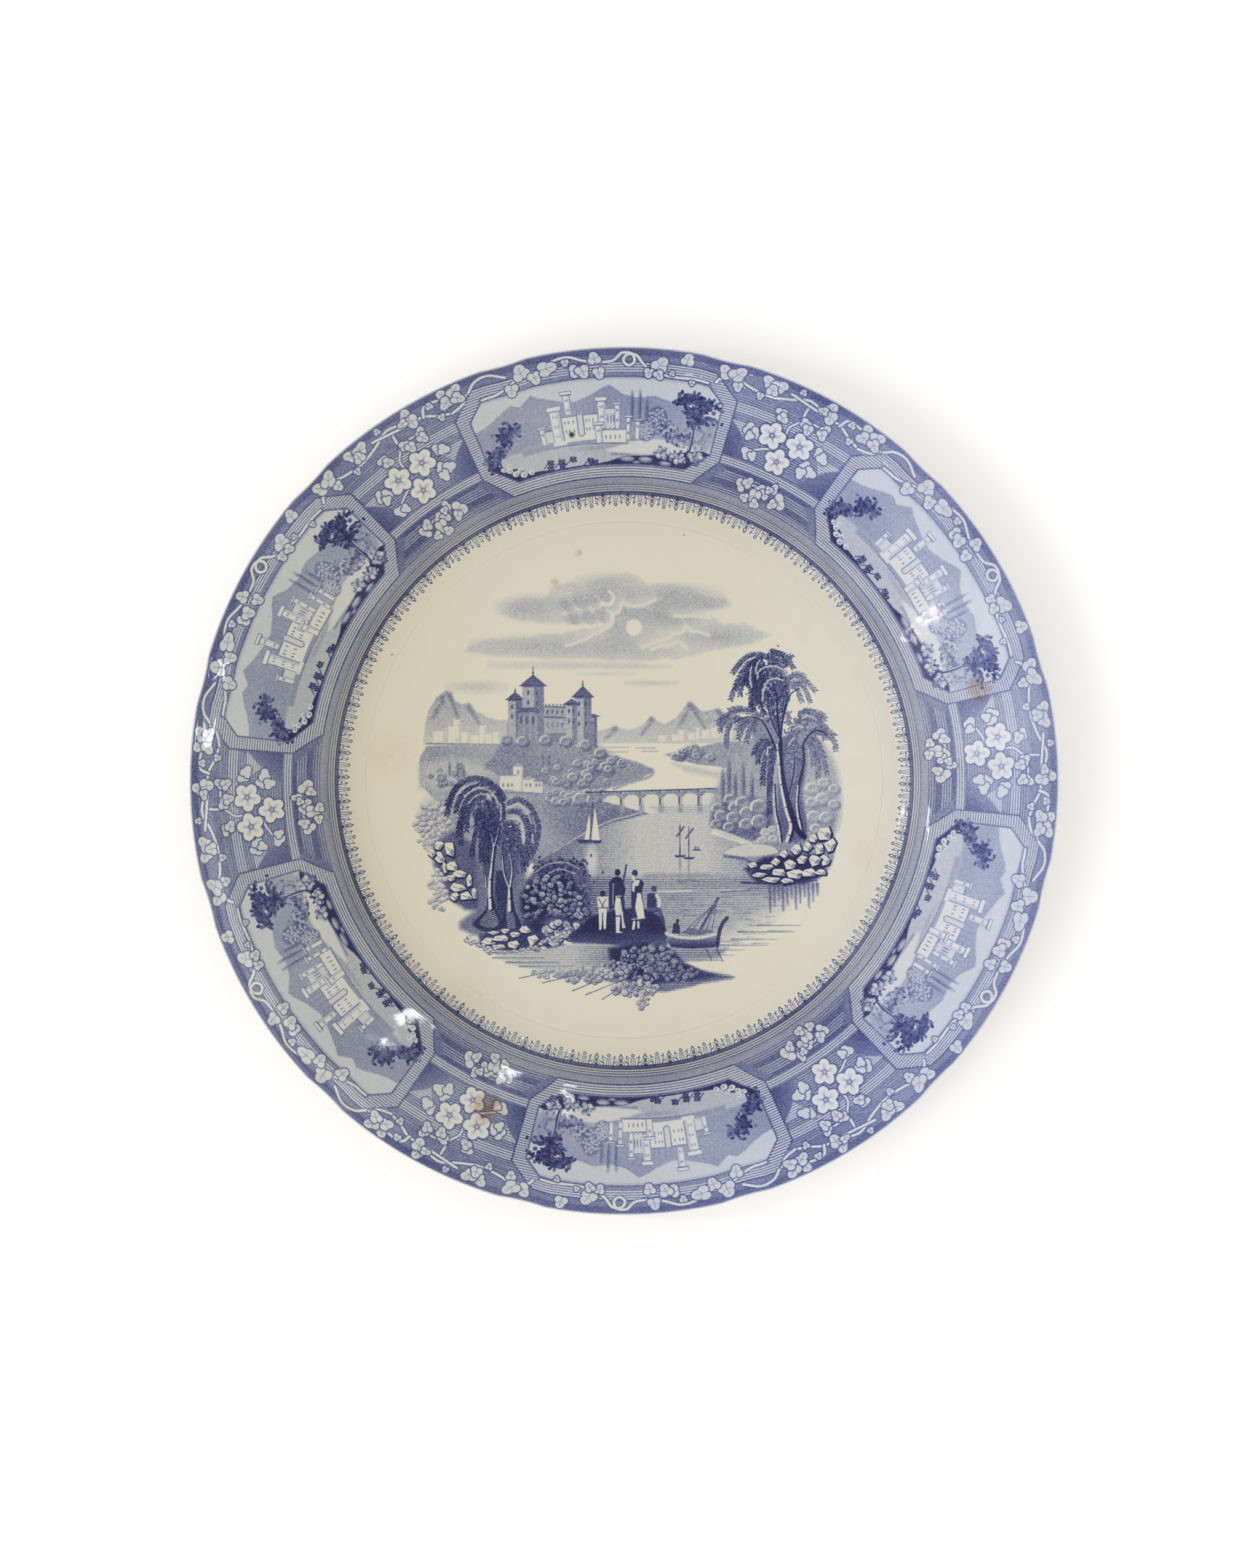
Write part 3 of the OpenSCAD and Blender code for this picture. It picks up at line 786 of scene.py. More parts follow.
def leaning_crown(s):
    """The crown of the leaning tree, right of the tall one."""
    s.blob([(48, 16), (50.6, 20), (55, 21.6), (58, 19), (56, 16), (52.4, 14.6), (50.6, 9), (49.4, 2),
            (47, 3), (46.6, 9)], 0.36, soft=1.4)
    scatter(s, (50.6, 15.4), (2.2, 3.4), 130, 0.8, 0.3, 0.7, 43)
    droops(s, LEANING_CROWN, 0.85, 0.56, 200)
    glints(s, ([(48.6, 16.6), (50.4, 17.6), (52, 17)], [(47.4, 12), (48.4, 13.6), (49.4, 14)],
               [(51.4, 20), (53.4, 20.6), (55.6, 19.6)]), 0.6)


def right_trunks(s):
    """The branches and trunks of the two tall trees on the right."""
    for path, width in RIGHT_BRANCHES:
        s.bend(path, width, 0.95, end_width=width * 0.4)
    trunk(s, [(51.6, -16.6), (50.6, -12), (49.7, -6.3), (50.1, -0.1)], 1.1, 0.7)
    trunk(s, [(44.8, -17.9), (44.3, -13.5), (43.2, -8.1), (42.8, -0.1)], 1.0, 0.6)
    trunk(s, [(46.5, -17.9), (47.9, -12.8), (46.6, -8.1), (44.9, 0), (44.3, 7), (43.8, 12)], 1.6, 1.0)
    s.bend([(44.9, 14), (45.4, 4), (46.8, -3.6), (48.6, -9.6), (50, -13.6), (52, -16)], 0.8, 0.96,
           end_width=1.6)


def rock(s, x, y, w, h, seed):
    """An angular pale boulder in a dark crack, with a hatched right face."""
    rng = np.random.default_rng(seed)
    w, h = w * rng.uniform(0.75, 1.35), h * rng.uniform(0.75, 1.3)
    turns = np.radians(np.array((0, 62, 118, 176, 236, 300)) + rng.uniform(-24, 24, 6))
    out = rng.uniform(0.72, 1.18, 6)
    shape = [(x + w * o * math.cos(a), y + h * o * math.sin(a)) for a, o in zip(turns, out)]
    grown = [(x + 0.2 + (px - x) * 1.2, y - 0.3 + (py - y) * 1.24) for px, py in shape]
    s.area(grown, 0.95, soft=0.2)
    s.area(shape, 0.03, soft=0.15)
    s.area([(x + w * 0.3, y + h * 0.1), shape[0], shape[5], (x + w * 0.1, y - h * 0.5)],
           ruled(0.4, 0.5, 60, 0.6), soft=0.2)
    s.stroke([(x - w * 0.5, y + h * 0.2), (x, y - h * 0.1), (x + w * 0.2, y - h * 0.5)], 0.2, 0.6,
             end_width=0.1)


def rocks(s, places, seed):
    """Boulders at (x, y, width, height)."""
    for k, (x, y, w, h) in enumerate(places):
        rock(s, x, y, w, h, seed + k)


RIGHT_ROCKS = (
    (58, -14.6, 2, 2.2), (55, -16.2, 1.6, 1.6), (59.8, -18.6, 1.5, 2), (56.6, -19.4, 1.8, 2),
    (53, -18.8, 1.6, 1.6), (49.6, -19.8, 1.8, 1.6), (46.2, -21, 1.9, 1.5), (58.4, -23, 1.6, 1.8),
    (55, -23, 1.8, 1.6), (51.4, -22.6, 1.8, 1.8), (47.8, -24.2, 2, 1.5), (43.6, -23.4, 1.9, 1.3),
    (40.4, -25, 1.9, 1.2), (44.4, -26.6, 2.2, 1.2), (49.4, -27, 2.2, 1.3), (53.8, -26.6, 2, 1.4),
    (57, -26.6, 1.3, 1.2), (38.2, -27.4, 2, 0.9), (42, -28.8, 2.2, 0.8), (47, -29.2, 2.2, 0.8),
    (36.6, -24.4, 1.2, 0.8),
)


def right_rocks(s):
    """The pale spit and the heap of rocks below the right trees."""
    s.blob([(27.2, -20.9), (31, -19), (35.4, -17.8), (42, -17.4), (52, -17), (60, -12), (61, -22),
            (58, -27), (52, -30), (38, -29.6), (35, -26), (33, -23)], 0.34, soft=1.0)
    s.area([(34, -25.6), (40, -22), (56, -21), (59, -27), (52, -30), (38, -30)], 0.86, soft=1.2)
    s.blob([(27.2, -20.9), (31, -18.9), (36, -18), (42, -18.6), (44, -20.6), (38, -21.6), (33, -21.8)], 0.1,
           soft=0.5)
    s.bend([(25, -13.6), (29, -15), (33, -16.6), (36, -18)], 0.9, 0.08, soft=0.6)
    s.bend([(28, -21.6), (34, -22.6), (37, -24.6), (35.6, -26.4)], 0.7, 0.6, soft=0.6)
    rocks(s, RIGHT_ROCKS, 300)
    s.stroke([(33, -29.6), (44, -30.2), (56, -29)], 0.5, 0.8, end_width=0.3, soft=0.3)


LEFT_ROCKS = (
    (-58.4, -18.6, 2, 1.6), (-58, -22, 1.5, 2.2), (-55, -19.6, 1.8, 2.2), (-56.4, -25.2, 1.2, 1.4),
    (-54, -24.6, 2, 1.8), (-51.6, -27, 1.8, 1.6), (-54.6, -28.2, 1.8, 1.4), (-49, -29, 1.1, 2.2),
    (-52.6, -31.2, 2.2, 1.7), (-50, -33.8, 2.4, 1.4), (-53.6, -34, 1.4, 1.3), (-47.6, -33, 1, 1.8),
    (-60.4, -20.6, 1, 1.4),
)
LEFT_GROUND = [
    (-52, -41.6), (-46, -37.4), (-38, -35), (-30, -37), (-28, -44), (-36, -47), (-46, -46), (-52, -43.6),
]
FIRST_CROWN = (
    [(-38.2, -4.6), (-41, -0.8), (-45.4, 1.7), (-49.8, 1.2), (-53.3, -1.4), (-54.8, -5.2), (-55.9, -9.2)],
    [(-39, -2.6), (-43.4, 0), (-47.4, -0.2), (-50.9, -2.8), (-52.6, -6), (-53, -8.6)],
    [(-42, -2), (-46, -2), (-49.4, -4.2), (-51, -8.4), (-51.6, -13), (-51.6, -18)],
    [(-44, -3.6), (-47.6, -4.4), (-49.2, -7.4), (-49.8, -11), (-49.9, -14)],
    [(-46, -7), (-46.8, -13), (-47.8, -18), (-48.4, -22)], [(-45, -8), (-45.4, -15), (-45.3, -23)],
    [(-50.6, -7), (-52, -12), (-52.6, -16)], [(-41.4, -2.6), (-39.4, -5), (-38.8, -8.6), (-39, -11)],
    [(-42.4, -4), (-40.8, -7), (-40.4, -12), (-40.6, -18)],
    [(-43.4, -5), (-42.2, -9), (-42, -14), (-42.2, -20)], [(-52.4, 0), (-54, -2.6), (-56, -6.4)],
    [(-44, -9), (-43.6, -16), (-43.8, -24)],
)
FIRST_CROWN_LIT = (
    [(-50.4, -3.4), (-47, -1.4), (-43.6, -1.6), (-41.4, -3.6), (-40.4, -7)],
    [(-49.2, -5.6), (-47, -3.4), (-44, -3), (-42.2, -5)], [(-52.6, -3), (-50, -0.6), (-46.4, 0.6)],
    [(-39.6, -6), (-39.4, -9), (-39.8, -11.4)],
)
SECOND_CROWN = (
    [(-37.8, -6), (-34.4, -4.6), (-31, -6.4), (-29, -10), (-28.2, -13), (-28.8, -18), (-30.6, -22)],
    [(-37.6, -8.4), (-34.4, -8.2), (-32.2, -11), (-31.4, -15), (-31.8, -20.6)],
    [(-38.8, -12.2), (-36, -11.6), (-34.4, -14.4), (-34, -20)], [(-31.4, -9), (-30, -14), (-30.8, -19)],
    [(-33.4, -18), (-33, -22), (-32.8, -26)], [(-30.6, -17), (-31.4, -21), (-32, -24.6)],
    [(-38.6, -14), (-38.4, -18), (-38.6, -22)], [(-36.6, -14), (-36, -18), (-36, -23)],
)
SECOND_CROWN_LIT = (
    [(-37.4, -7), (-34.4, -6), (-31.8, -8.2), (-30.2, -12)],
    [(-36.6, -10.2), (-34, -10.6), (-32.8, -14), (-32.8, -18)], [(-30, -15), (-30, -18)],
)


def left_rocks(s):
    """Pale foliage and rocks at the left end of the view."""
    s.dab(-59, -10, 4.6, 6, 0, 0.22, soft=4)
    leafy(s, (-60.2, -12.6), (5.4, 7.4), 74, 0.8, 0.05, 0.42, 81, back=False)
    s.area([(-60, -18), (-54, -14), (-48, -18), (-43.6, -30), (-44, -38), (-50, -38), (-56, -34),
            (-60, -24)], ruled(0.6, 0.6, 50, 0.2), soft=1.6)
    rocks(s, LEFT_ROCKS, 400)
    leafy(s, (-58.6, -32), (3, 6.4), 34, 0.75, 0.04, 0.38, 82, back=False)


def left_crowns(s):
    """The ground below the two weeping trees on the left, the dark behind them, and their crowns."""
    s.blob(LEFT_GROUND, ruled(0.5, 0.6, 0, 0.25), soft=1.6)
    s.blob([(-47, -20), (-43, -10), (-38, -12), (-32, -20), (-32, -30), (-33, -40), (-40, -42), (-46, -38),
            (-47, -30)], ruled(0.46, 0.6, 70, 0.25), soft=1.8)
    s.area([(-41, -26), (-38.4, -26), (-37.4, -31), (-38, -40), (-40.4, -40), (-41.4, -33)], 0.78, soft=0.8)
    s.blob([(-49, -6), (-47, -4.4), (-43.4, -4.6), (-41, -9), (-40.6, -16), (-42, -26), (-44.6, -28),
            (-45.4, -18), (-47.6, -11)], ruled(0.66, 0.5, 80, 0.25), soft=0.8)
    s.blob([(-39.8, -13), (-37, -11.6), (-34.4, -13), (-33.8, -20), (-35, -28), (-37.6, -29), (-39.4, -22)],
           ruled(0.6, 0.5, 80, 0.25), soft=0.8)
    scatter(s, (-45.6, -8), (1.9, 3.6), 90, 0.7, 0.1, 1.0, 44)
    scatter(s, (-36.6, -16), (1.5, 3.4), 70, 0.7, 0.1, 0.95, 45)
    droops(s, FIRST_CROWN, 0.85, 0.86, 220)
    glints(s, FIRST_CROWN_LIT, 0.55)
    droops(s, SECOND_CROWN, 0.85, 0.7, 240)
    glints(s, SECOND_CROWN_LIT, 0.6)


def left_trunks(s):
    """The spreading roots and the trunks of the two trees on the left."""
    for base, left, right in (((-42.6, -36.4), (-48, -42.4), (-38.6, -42.6)),
                              ((-37, -36.4), (-39.6, -43), (-33.4, -43.4))):
        x, y = base
        s.area(smooth([(x - 1, y + 2), (x - 1.6, y - 1.6), left, (x, left[1] - 2.4), right,
                       (x + 1.8, y - 1.6), (x + 1, y + 2)], 4), 0.9, soft=0.5)
        s.area(smooth([(x - 0.7, y + 2), (x - 1.1, y - 1.6), (left[0] + 2, left[1] + 0.4), (x, left[1] - 1),
                       (right[0] - 1.6, right[1] + 0.6), (x + 1, y - 1.4), (x + 0.5, y + 2)], 4),
               ruled(0.56, 0.55, 20, 0.5), soft=0.4)
    trunk(s, [(-42.8, -37.4), (-43, -31), (-42.4, -24.4), (-41.7, -18.7)], 1.5, 0.7)
    trunk(s, [(-44, -31), (-44.2, -27)], 0.5, 0.3)
    trunk(s, [(-41.7, -18.9), (-42.2, -16.4), (-42.6, -14.6)], 0.5, 0.3)
    trunk(s, [(-41.7, -18.9), (-40.8, -16), (-40.2, -13)], 0.5, 0.3)
    trunk(s, [(-37, -38), (-37.1, -31)], 1.6, 1.0)
    trunk(s, [(-37.2, -31), (-38.6, -27), (-39.1, -21.8)], 0.7, 0.4)
    trunk(s, [(-36.8, -31), (-36.2, -26), (-36.8, -21)], 0.7, 0.4)


FRONT_ROCKS = (
    (-43, -47.4, 2.2, 1.1), (-39.4, -46.6, 2, 1.1), (-35.4, -45.4, 2.2, 1.1), (-30, -47, 1.7, 2),
    (-27, -49.8, 2.2, 1.1), (-32, -44, 1.4, 1.1), (-38.2, -44.2, 1.6, 0.8), (-23.6, -48.2, 1.9, 1),
    (-41.6, -44.8, 1.6, 0.8), (-35.6, -48.4, 2.2, 1), (-40, -49, 2, 0.8), (-31.4, -50.6, 2, 0.8),
)


def flowering_bush(s):
    """The flowering bush by the figures and the shaded one behind it."""
    s.blob([(-32, -29), (-27, -24), (-20, -22.6), (-14, -25), (-13, -32), (-14, -44), (-30, -46),
            (-34, -38)], ruled(0.6, 0.5, 40, 0.2), soft=1.4)
    scatter(s, (-22, -25.6), (4.4, 1.5), 170, 0.9, 0.55, 1.0, 46)
    scatter(s, (-15.2, -34), (1.6, 2.4), 110, 0.8, 0.4, 0.85, 47)
    glints(s, ([(-29, -26.4), (-25, -24), (-20, -23.6), (-16, -25.4)],
               [(-27, -28), (-22, -25.6), (-17, -27)]), 0.5)
    leafy(s, (-24.4, -35.4), (9, 8), 84, 0.95, 0.22, 0.98, 14)
    leafy(s, (-17, -38.2), (3.6, 2.6), 14, 1.0, 0.2, 0.95, 15)
    s.dab(-25, -42.6, 7, 3, 0, 0.92, soft=2)
    s.dab(-23, -41.6, 4, 1.4, 0, 0.6, soft=1.2)
    leafy(s, (-20.6, -44.4), (6, 2.8), 20, 1.25, 0.08, 0.9, 16, back=False)


def front_rocks(s):
    """The rocks and leaves in front of the bush."""
    s.area([(-46, -45.4), (-34, -43.4), (-26, -46), (-20, -48.6), (-28, -51.6), (-40, -50), (-46, -48)],
           0.8, soft=1.2)
    rocks(s, FRONT_ROCKS, 500)
    rng = np.random.default_rng(3)
    for k in range(44):
        x = -50 + k * 0.72
        y = -46.5 - 4.6 * math.sin(k * 0.085) + rng.uniform(-1, 1)
        s.dab(x, y, 0.8, 0.6, rng.uniform(-40, 40), 0.5, soft=0.2)
        s.dab(x + 0.1, y + 0.1, 0.5, 0.35, 0, 0.06, soft=0.2)


FRONT_EARTH = [
    (-42, -51.6), (-30, -50.6), (-20, -48.4), (-8, -48.6), (6, -49.6), (14, -53), (20, -56), (31, -58.2),
    (24, -59.6), (16, -61), (10, -62.6), (2, -62), (-8, -59.4), (-16, -57.4), (-28, -56), (-38, -54),
]


def foreground(s):
    """The lowest ground: ruled earth and a clump of leaves that ends in a ragged point."""

    def tone(x, y):
        level = 0.18 + 0.4 * np.clip((x + 18) / 24, 0, 1)
        return level * (1 + 0.5 * np.cos(y * 9.5)) * np.clip((x + 44) / 10, 0, 1)

    s.blob(FRONT_EARTH, tone, soft=1.2)
    for x0, x1, y in ((-42, -26, -52.4), (-38, -22, -53.8), (-34, -18, -55), (-30, -16, -56.4),
                      (-44, -34, -50.8)):
        s.line(x0, y, x1, y, 0.4, 0.46, end_width=0.15, soft=0.3)
    s.area([(-7, -49.6), (4, -47.6), (11, -49.6), (15, -53.6), (19.6, -56), (25.6, -57.8), (19, -58.8),
            (8, -60.8), (-6, -58)], 0.88, soft=1.4)
    s.dab(17, -57.4, 5, 1.2, -8, 0.7, soft=1.2)
    leafy(s, (5, -54), (9.4, 5.4), 92, 0.95, 0.3, 0.93, 61)
    leafy(s, (14, -57), (6, 2.4), 24, 0.85, 0.34, 0.9, 62)
    leafy(s, (-5, -56), (4.6, 3), 24, 0.8, 0.16, 0.7, 63, back=False)
    leafy(s, (-14, -57.4), (9, 2.2), 46, 0.85, 0.1, 0.48, 64, back=False)
    leafy(s, (-24, -57), (6, 1.2), 18, 0.75, 0.1, 0.42, 65, back=False)
    leafy(s, (1, -61.6), (7, 2.2), 34, 0.85, 0.08, 0.56, 66, back=False)
    leafy(s, (3.2, -65.6), (1.8, 2.2), 9, 0.7, 0.08, 0.5, 67, back=False)
    for x0, y0, x1, y1 in ((-18, -62.4, -8, -58.4), (-14, -63.6, -4, -59.6), (-9, -65, -3, -61.2),
                           (-27, -60, -16, -57.4), (-34, -58.6, -25, -56.6)):
        s.line(x0, y0, x1, y1, 0.35, 0.5, end_width=0.15)
    s.area([(8, -60), (22, -59.4), (18, -61.2), (10, -62.4)], ruled(0.5, 0.66), soft=0.8)


def draw_view(step):
    """The whole view, drawn from its sky to its foreground."""
    s = Sheet((-72, -74), (72, 72), step)
    for part in (clouds, mountains, town, far_shore, river, castle, house, near_bank, bridge, lake, ripples,
                 boats, right_bushes, tall_crown, leaning_crown, right_trunks, right_rocks, left_rocks,
                 left_crowns, left_trunks, flowering_bush, front_rocks, dark_mound, child, staff_bearer,
                 apron_wearer, sitter, rowing_boat, foreground):
        part(s)
    s.stipple(0.3, 1)
    return s


# ---- The printed border ------------------------------------------------------
# One sixth of the border, laid flat: X runs along the rim and Y is the radius.

REPEATS = 6
RING_R = 86.6
RIM_MID = 106.5
UNIT = 2 * math.pi * RIM_MID / REPEATS
PANEL = [
    (-30.4, 121), (30.4, 121), (35.2, 116.4), (35.4, 101), (28.2, 95), (-28, 95), (-35.2, 101),
    (-35.2, 116.4),
]
FRAME = [
    (-31.6, 125.4), (31.6, 125.4), (38.8, 118.4), (38.8, 99.6), (31.4, 91.4), (-31.4, 91.4), (-38.8, 99.6),
    (-38.8, 118.4),
]


def grounds(s):
    """The tones the white sprigs stand out from."""
    s.box(-64, 120.6, 64, 129.4, ruled(0.47, 0.75, depth=0.12))
    s.box(-64, 127.4, 64, 129.5, 0.6, soft=0.8)
    s.box(-64, 118.4, 64, 120.6, ruled(0.45, 0.75, depth=0.25))
    s.box(-64, 102.4, 64, 115.4, ruled(0.42, 0.75, depth=0.4))
    s.box(-64, 91.2, 64, 99.4, ruled(0.45, 0.75, depth=0.5))
    s.box(-64, 86.8, 64, 89.4, ruled(0.34, 0.66, depth=0.8))
    s.box(-64, 89.2, 64, 91.4, 0.34)
    s.box(-64, 93.4, 64, 95.2, 0.6, soft=0.3)
    for low, high in ((115.4, 118.4), (99.4, 102.4)):
        s.box(-64, low, 64, high, ruled(0.3, 0.75, depth=0.9))
        s.line(-64, low, 64, low, 0.3, 0.6)
        s.line(-64, high, 64, high, 0.3, 0.6)
    s.box(-64, 98.2, 64, 99.3, 0.62)
    s.line(-64, RING_R, 64, RING_R, 0.95, 0.74)
    s.line(-64, RING_R, 64, RING_R, 0.3, 0.5)
    s.line(-64, 129.8, 64, 129.8, 0.4, 0.16, soft=0.5)


def panel_corners(s, side):
    """The shaded bevels where the flower panels meet the frame."""
    x = side * 38.8
    s.area([(x, 115.4), (x, 102.4), (x + side * 10, 102.4), (x + side * 5, 107.6), (x + side * 1.6, 112.6)],
           blend_tone(0.7, 0.44, (x, 102), (x + side * 8, 107)), soft=0.5)
    s.area([(x, 113), (x + side * 5, 108.6), (x + side * 8, 113)], ruled(0.24, 0.75, depth=0.8), soft=0.4)
    s.area([(x, 99.4), (x - side * 7.4, 91.6), (x - side * 4.6, 91.6), (x + side * 3, 98.6)], 0.5, soft=0.7)


def draw_frame(s):
    """The ruled frame round a castle view."""
    s.area(FRAME, ruled(0.3, 0.75, depth=0.95))
    s.stroke(FRAME + FRAME[:1], 0.4, 0.66)
    s.area([(-30.2, 122), (30.4, 122), (35, 117.2), (36, 116), (30.6, 121), (-30.4, 121)], 0.4, soft=0.3)
    s.box(-31, 121, 31, 122.3, 0.42)


RIM_HILLS = [
    (-35.2, 113), (-32, 113.4), (-28.7, 114.6), (-25.6, 116.4), (-23.3, 117.4), (-21, 116.2),
    (-19.2, 117.4), (-17.5, 118.7), (-15.6, 117.4), (-13.3, 116.4), (-9.4, 115), (-5.6, 114.4), (-1, 116),
    (2, 117.8), (4, 118.6), (5.8, 117.2), (7.6, 115.8), (12, 114.6), (16.3, 115.6), (20, 114.6), (26, 113),
    (35.2, 111), (35.2, 101), (28.2, 95), (-28, 95), (-35.2, 101),
]


def rim_sky(s):
    """The sky, the hills and the water of a small castle view."""
    s.area(PANEL, 0.12)
    s.area(RIM_HILLS, blend_tone(0.36, 0.28, (0, 118), (0, 104)), soft=0.4)
    s.area([(-35.2, 111), (-28, 112.4), (-22, 112), (-14, 109), (-14, 104), (-35.2, 103)], 0.34, soft=1.2)
    s.line(-30, 120.6, 30, 120.6, 0.9, 0.22, soft=0.8)
    s.area([(-35.2, 103), (35.2, 103), (35.2, 101), (28.2, 95), (-28, 95), (-35.2, 101)], 0.2, soft=0.5)
    s.area([(-24, 103.2), (14, 103.2), (14, 101.9), (-24, 101.6)], 0.34, soft=0.5)
    s.area([(-10, 101), (6, 101), (12, 101.4), (6, 99.4), (-6, 99.8)], 0.28, soft=0.8)
    for x in (-13, -11, -8, -4.6, -1.2, 1.6, 5.4):
        s.line(x, 101.4, x, 97.6, 0.5, 0.24, soft=0.5)
    bank = [(2, 99.6), (8, 101), (14, 102.4), (22, 102.8), (30, 101.6), (24, 99), (12, 98), (4, 98.6)]
    s.blob(bank, 0.08, soft=0.7)
    s.stroke([(4, 98.2), (14, 97.6), (22, 98.4)], 0.7, 0.36, soft=0.6)


def keep(s, x0, x1, base, top, crown=0.0):
    """A pale castle tower with an outline, slits, shade and a wider parapet."""
    s.box(x0 - 0.2, base, x1 + 0.2, top, 0.44)
    s.box(x0, base, x1, top - 0.1, 0.04)
    s.box(x0 + (x1 - x0) * 0.7, base, x1, top - 0.1, 0.16)
    if crown:
        s.box(x0 - 0.8, top - crown, x1 + 0.7, top + 0.2, 0.48)
        s.box(x0 - 0.6, top - crown + 0.2, x1 + 0.5, top, 0.03)
        s.line(x0 - 0.6, top - crown, x1 + 0.5, top - crown, 0.3, 0.5)
    level = top - crown - 1.6
    while level > base + 1.2:
        for t in (0.32, 0.62):
            s.dab(x0 + (x1 - x0) * t, level, 0.14, 0.42, 0, 0.5)
        level -= 2.9


def rim_castle_rear(s):
    """The hall, towers and side wing of a low castle across the water."""
    s.box(-16.6, 103.6, -13, 107, 0.1)
    keep(s, -17.2, -16, 103.4, 108.6, 0.6)
    s.line(-16, 107.1, -13.2, 107.1, 0.3, 0.46)
    keep(s, -8.9, -7.2, 108, 117.6, 0.9)
    s.box(-10.4, 102.8, 0.4, 111, 0.44)
    s.box(-10.2, 102.8, 0.2, 110.8, 0.04)
    for x in (-5.6, -3.8, -2, -0.6):
        s.line(x, 110.8, x, 113.4, 0.28, 0.4)
    s.line(-10, 110.4, 0.2, 110.4, 0.5, 0.4)
    for y in (108.6, 106):
        for x in (-9.4, -8.4, -7, -3.2, -2.3, -1.2):
            s.dab(x, y, 0.16, 0.5, 0, 0.52)
    s.box(-5.8, 104.4, -4, 110.4, 0.1)
    s.stroke([(-5.8, 110.4), (-5.8, 104.6), (-5, 104), (-4, 104.6), (-4, 110.4)], 0.3, 0.46)
    keep(s, 0.5, 2.5, 106, 115, 1.2)
    s.box(2.6, 105.4, 6.7, 111.6, 0.1)
    s.line(2.6, 111.6, 6.6, 111.6, 0.3, 0.46)
    for x in (3.2, 4.1, 4.9):
        s.dab(x, 108.6, 0.18, 1.3, 0, 0.46)
    keep(s, 5.4, 6.6, 105.4, 113.2, 0.6)


def rim_castle_front(s):
    """The castle's great keep, its front range and the low turrets."""
    keep(s, -13.4, -10.6, 102.6, 113.8, 1.4)
    s.box(-13.9, 102.2, -9.8, 103.4, 0.06)
    s.box(1, 101.6, 8.8, 105.4, 0.44)
    s.box(1.2, 101.6, 8.6, 105.2, 0.04)
    for x in (2.4, 3.8, 5.2, 6.6):
        s.dab(x, 103.2, 0.18, 0.7, 0, 0.5)
        s.stroke([(x - 0.7, 105.2), (x, 106), (x + 0.7, 105.2)], 0.24, 0.44)
    keep(s, -0.6, 1.2, 101.4, 107.6, 0.8)
    keep(s, 8.7, 9.7, 102.4, 109.4, 0.6)
    keep(s, 11.4, 12.6, 102.6, 108.4, 0.5)
    s.line(-14, 102, 9, 101.2, 0.4, 0.44)


def sprays(s, rng, places, rx, ry, low, high, soft):
    """Small leaves of mixed tones thrown about centres, each with a spread and a count."""
    for centre, spread, count in places:
        for x, y in rng.normal(centre, spread, (count, 2)):
            s.dab(x, y, rx, ry, rng.uniform(0, 180), rng.uniform(low, high), soft=soft)


def rim_grove(s, rng):
    """Poplars, three rounded trees and loose foliage right of the castle."""
    for x, top in ((10.2, 116.6), (12.4, 116.8), (14.4, 115)):
        poplar(s, x, 108, top - 108, 1.1, 0.42)
    for x, y, rx, ry in ((17.6, 108.4, 3.1, 4.2), (14.6, 105.2, 2.7, 3.2), (22, 105.4, 2.6, 2.4)):
        s.dab(x, y, rx, ry, 0, 0.5, soft=0.5)
        for k in range(26):
            turn = k * 2.4
            out = 0.86 * math.sqrt(k / 26)
            s.dab(x + rx * out * math.cos(turn), y + ry * out * math.sin(turn), 0.5, 0.34, k * 40, 0.2,
                  soft=0.25)
    sprays(s, rng, [((25, 104), (2.6, 1.6), 70)], 0.6, 0.4, 0.3, 0.75, 0.15)
    sprays(s, rng, [((32.4, 104.6), (1.6, 2.6), 40)], 0.7, 0.45, 0.25, 0.5, 0.15)


def rim_tree_right(s, rng):
    """The spreading tree on the right."""
    s.bend([(28.4, 99.6), (28.7, 104), (28.5, 109), (28.9, 113)], 1.1, 0.86, end_width=0.5)
    s.bend([(28.2, 100), (28.5, 104), (28.3, 109)], 0.3, 0.1)
    s.bend([(28.4, 100.6), (27, 99.4), (25.6, 99)], 0.5, 0.8)
    s.bend([(28.8, 100.4), (30.2, 99.4), (31.4, 99.4)], 0.5, 0.7)
    sprays(s, rng, [((27.6, 116), (2.4, 0.9), 80), ((24.2, 114.6), (1.3, 0.8), 40),
                    ((31.4, 115), (1.3, 0.8), 36), ((28.6, 113), (1.5, 1.2), 60),
                    ((31.6, 110.6), (1.3, 0.7), 26), ((28.6, 109.6), (0.9, 1.2), 30)], 0.62, 0.4, 0.55,
           0.98, 0.12)


def rim_tree_left(s, rng):
    """The leaning tree on the left."""
    s.bend([(-31, 98.6), (-31.6, 102), (-30, 105), (-27.6, 107.4), (-26, 109.4)], 0.7, 0.8, end_width=0.3)
    s.bend([(-32.6, 101), (-33.4, 103.4), (-32.6, 105.4)], 0.5, 0.66, end_width=0.3)
    sprays(s, rng, [((-26, 109.6), (1.6, 1.2), 60), ((-27.4, 107.8), (1.4, 0.9), 30),
                    ((-31.6, 105), (1.7, 1.1), 60), ((-33.4, 102.4), (1, 1.6), 40)], 0.66, 0.42, 0.5, 0.95,
           0.12)


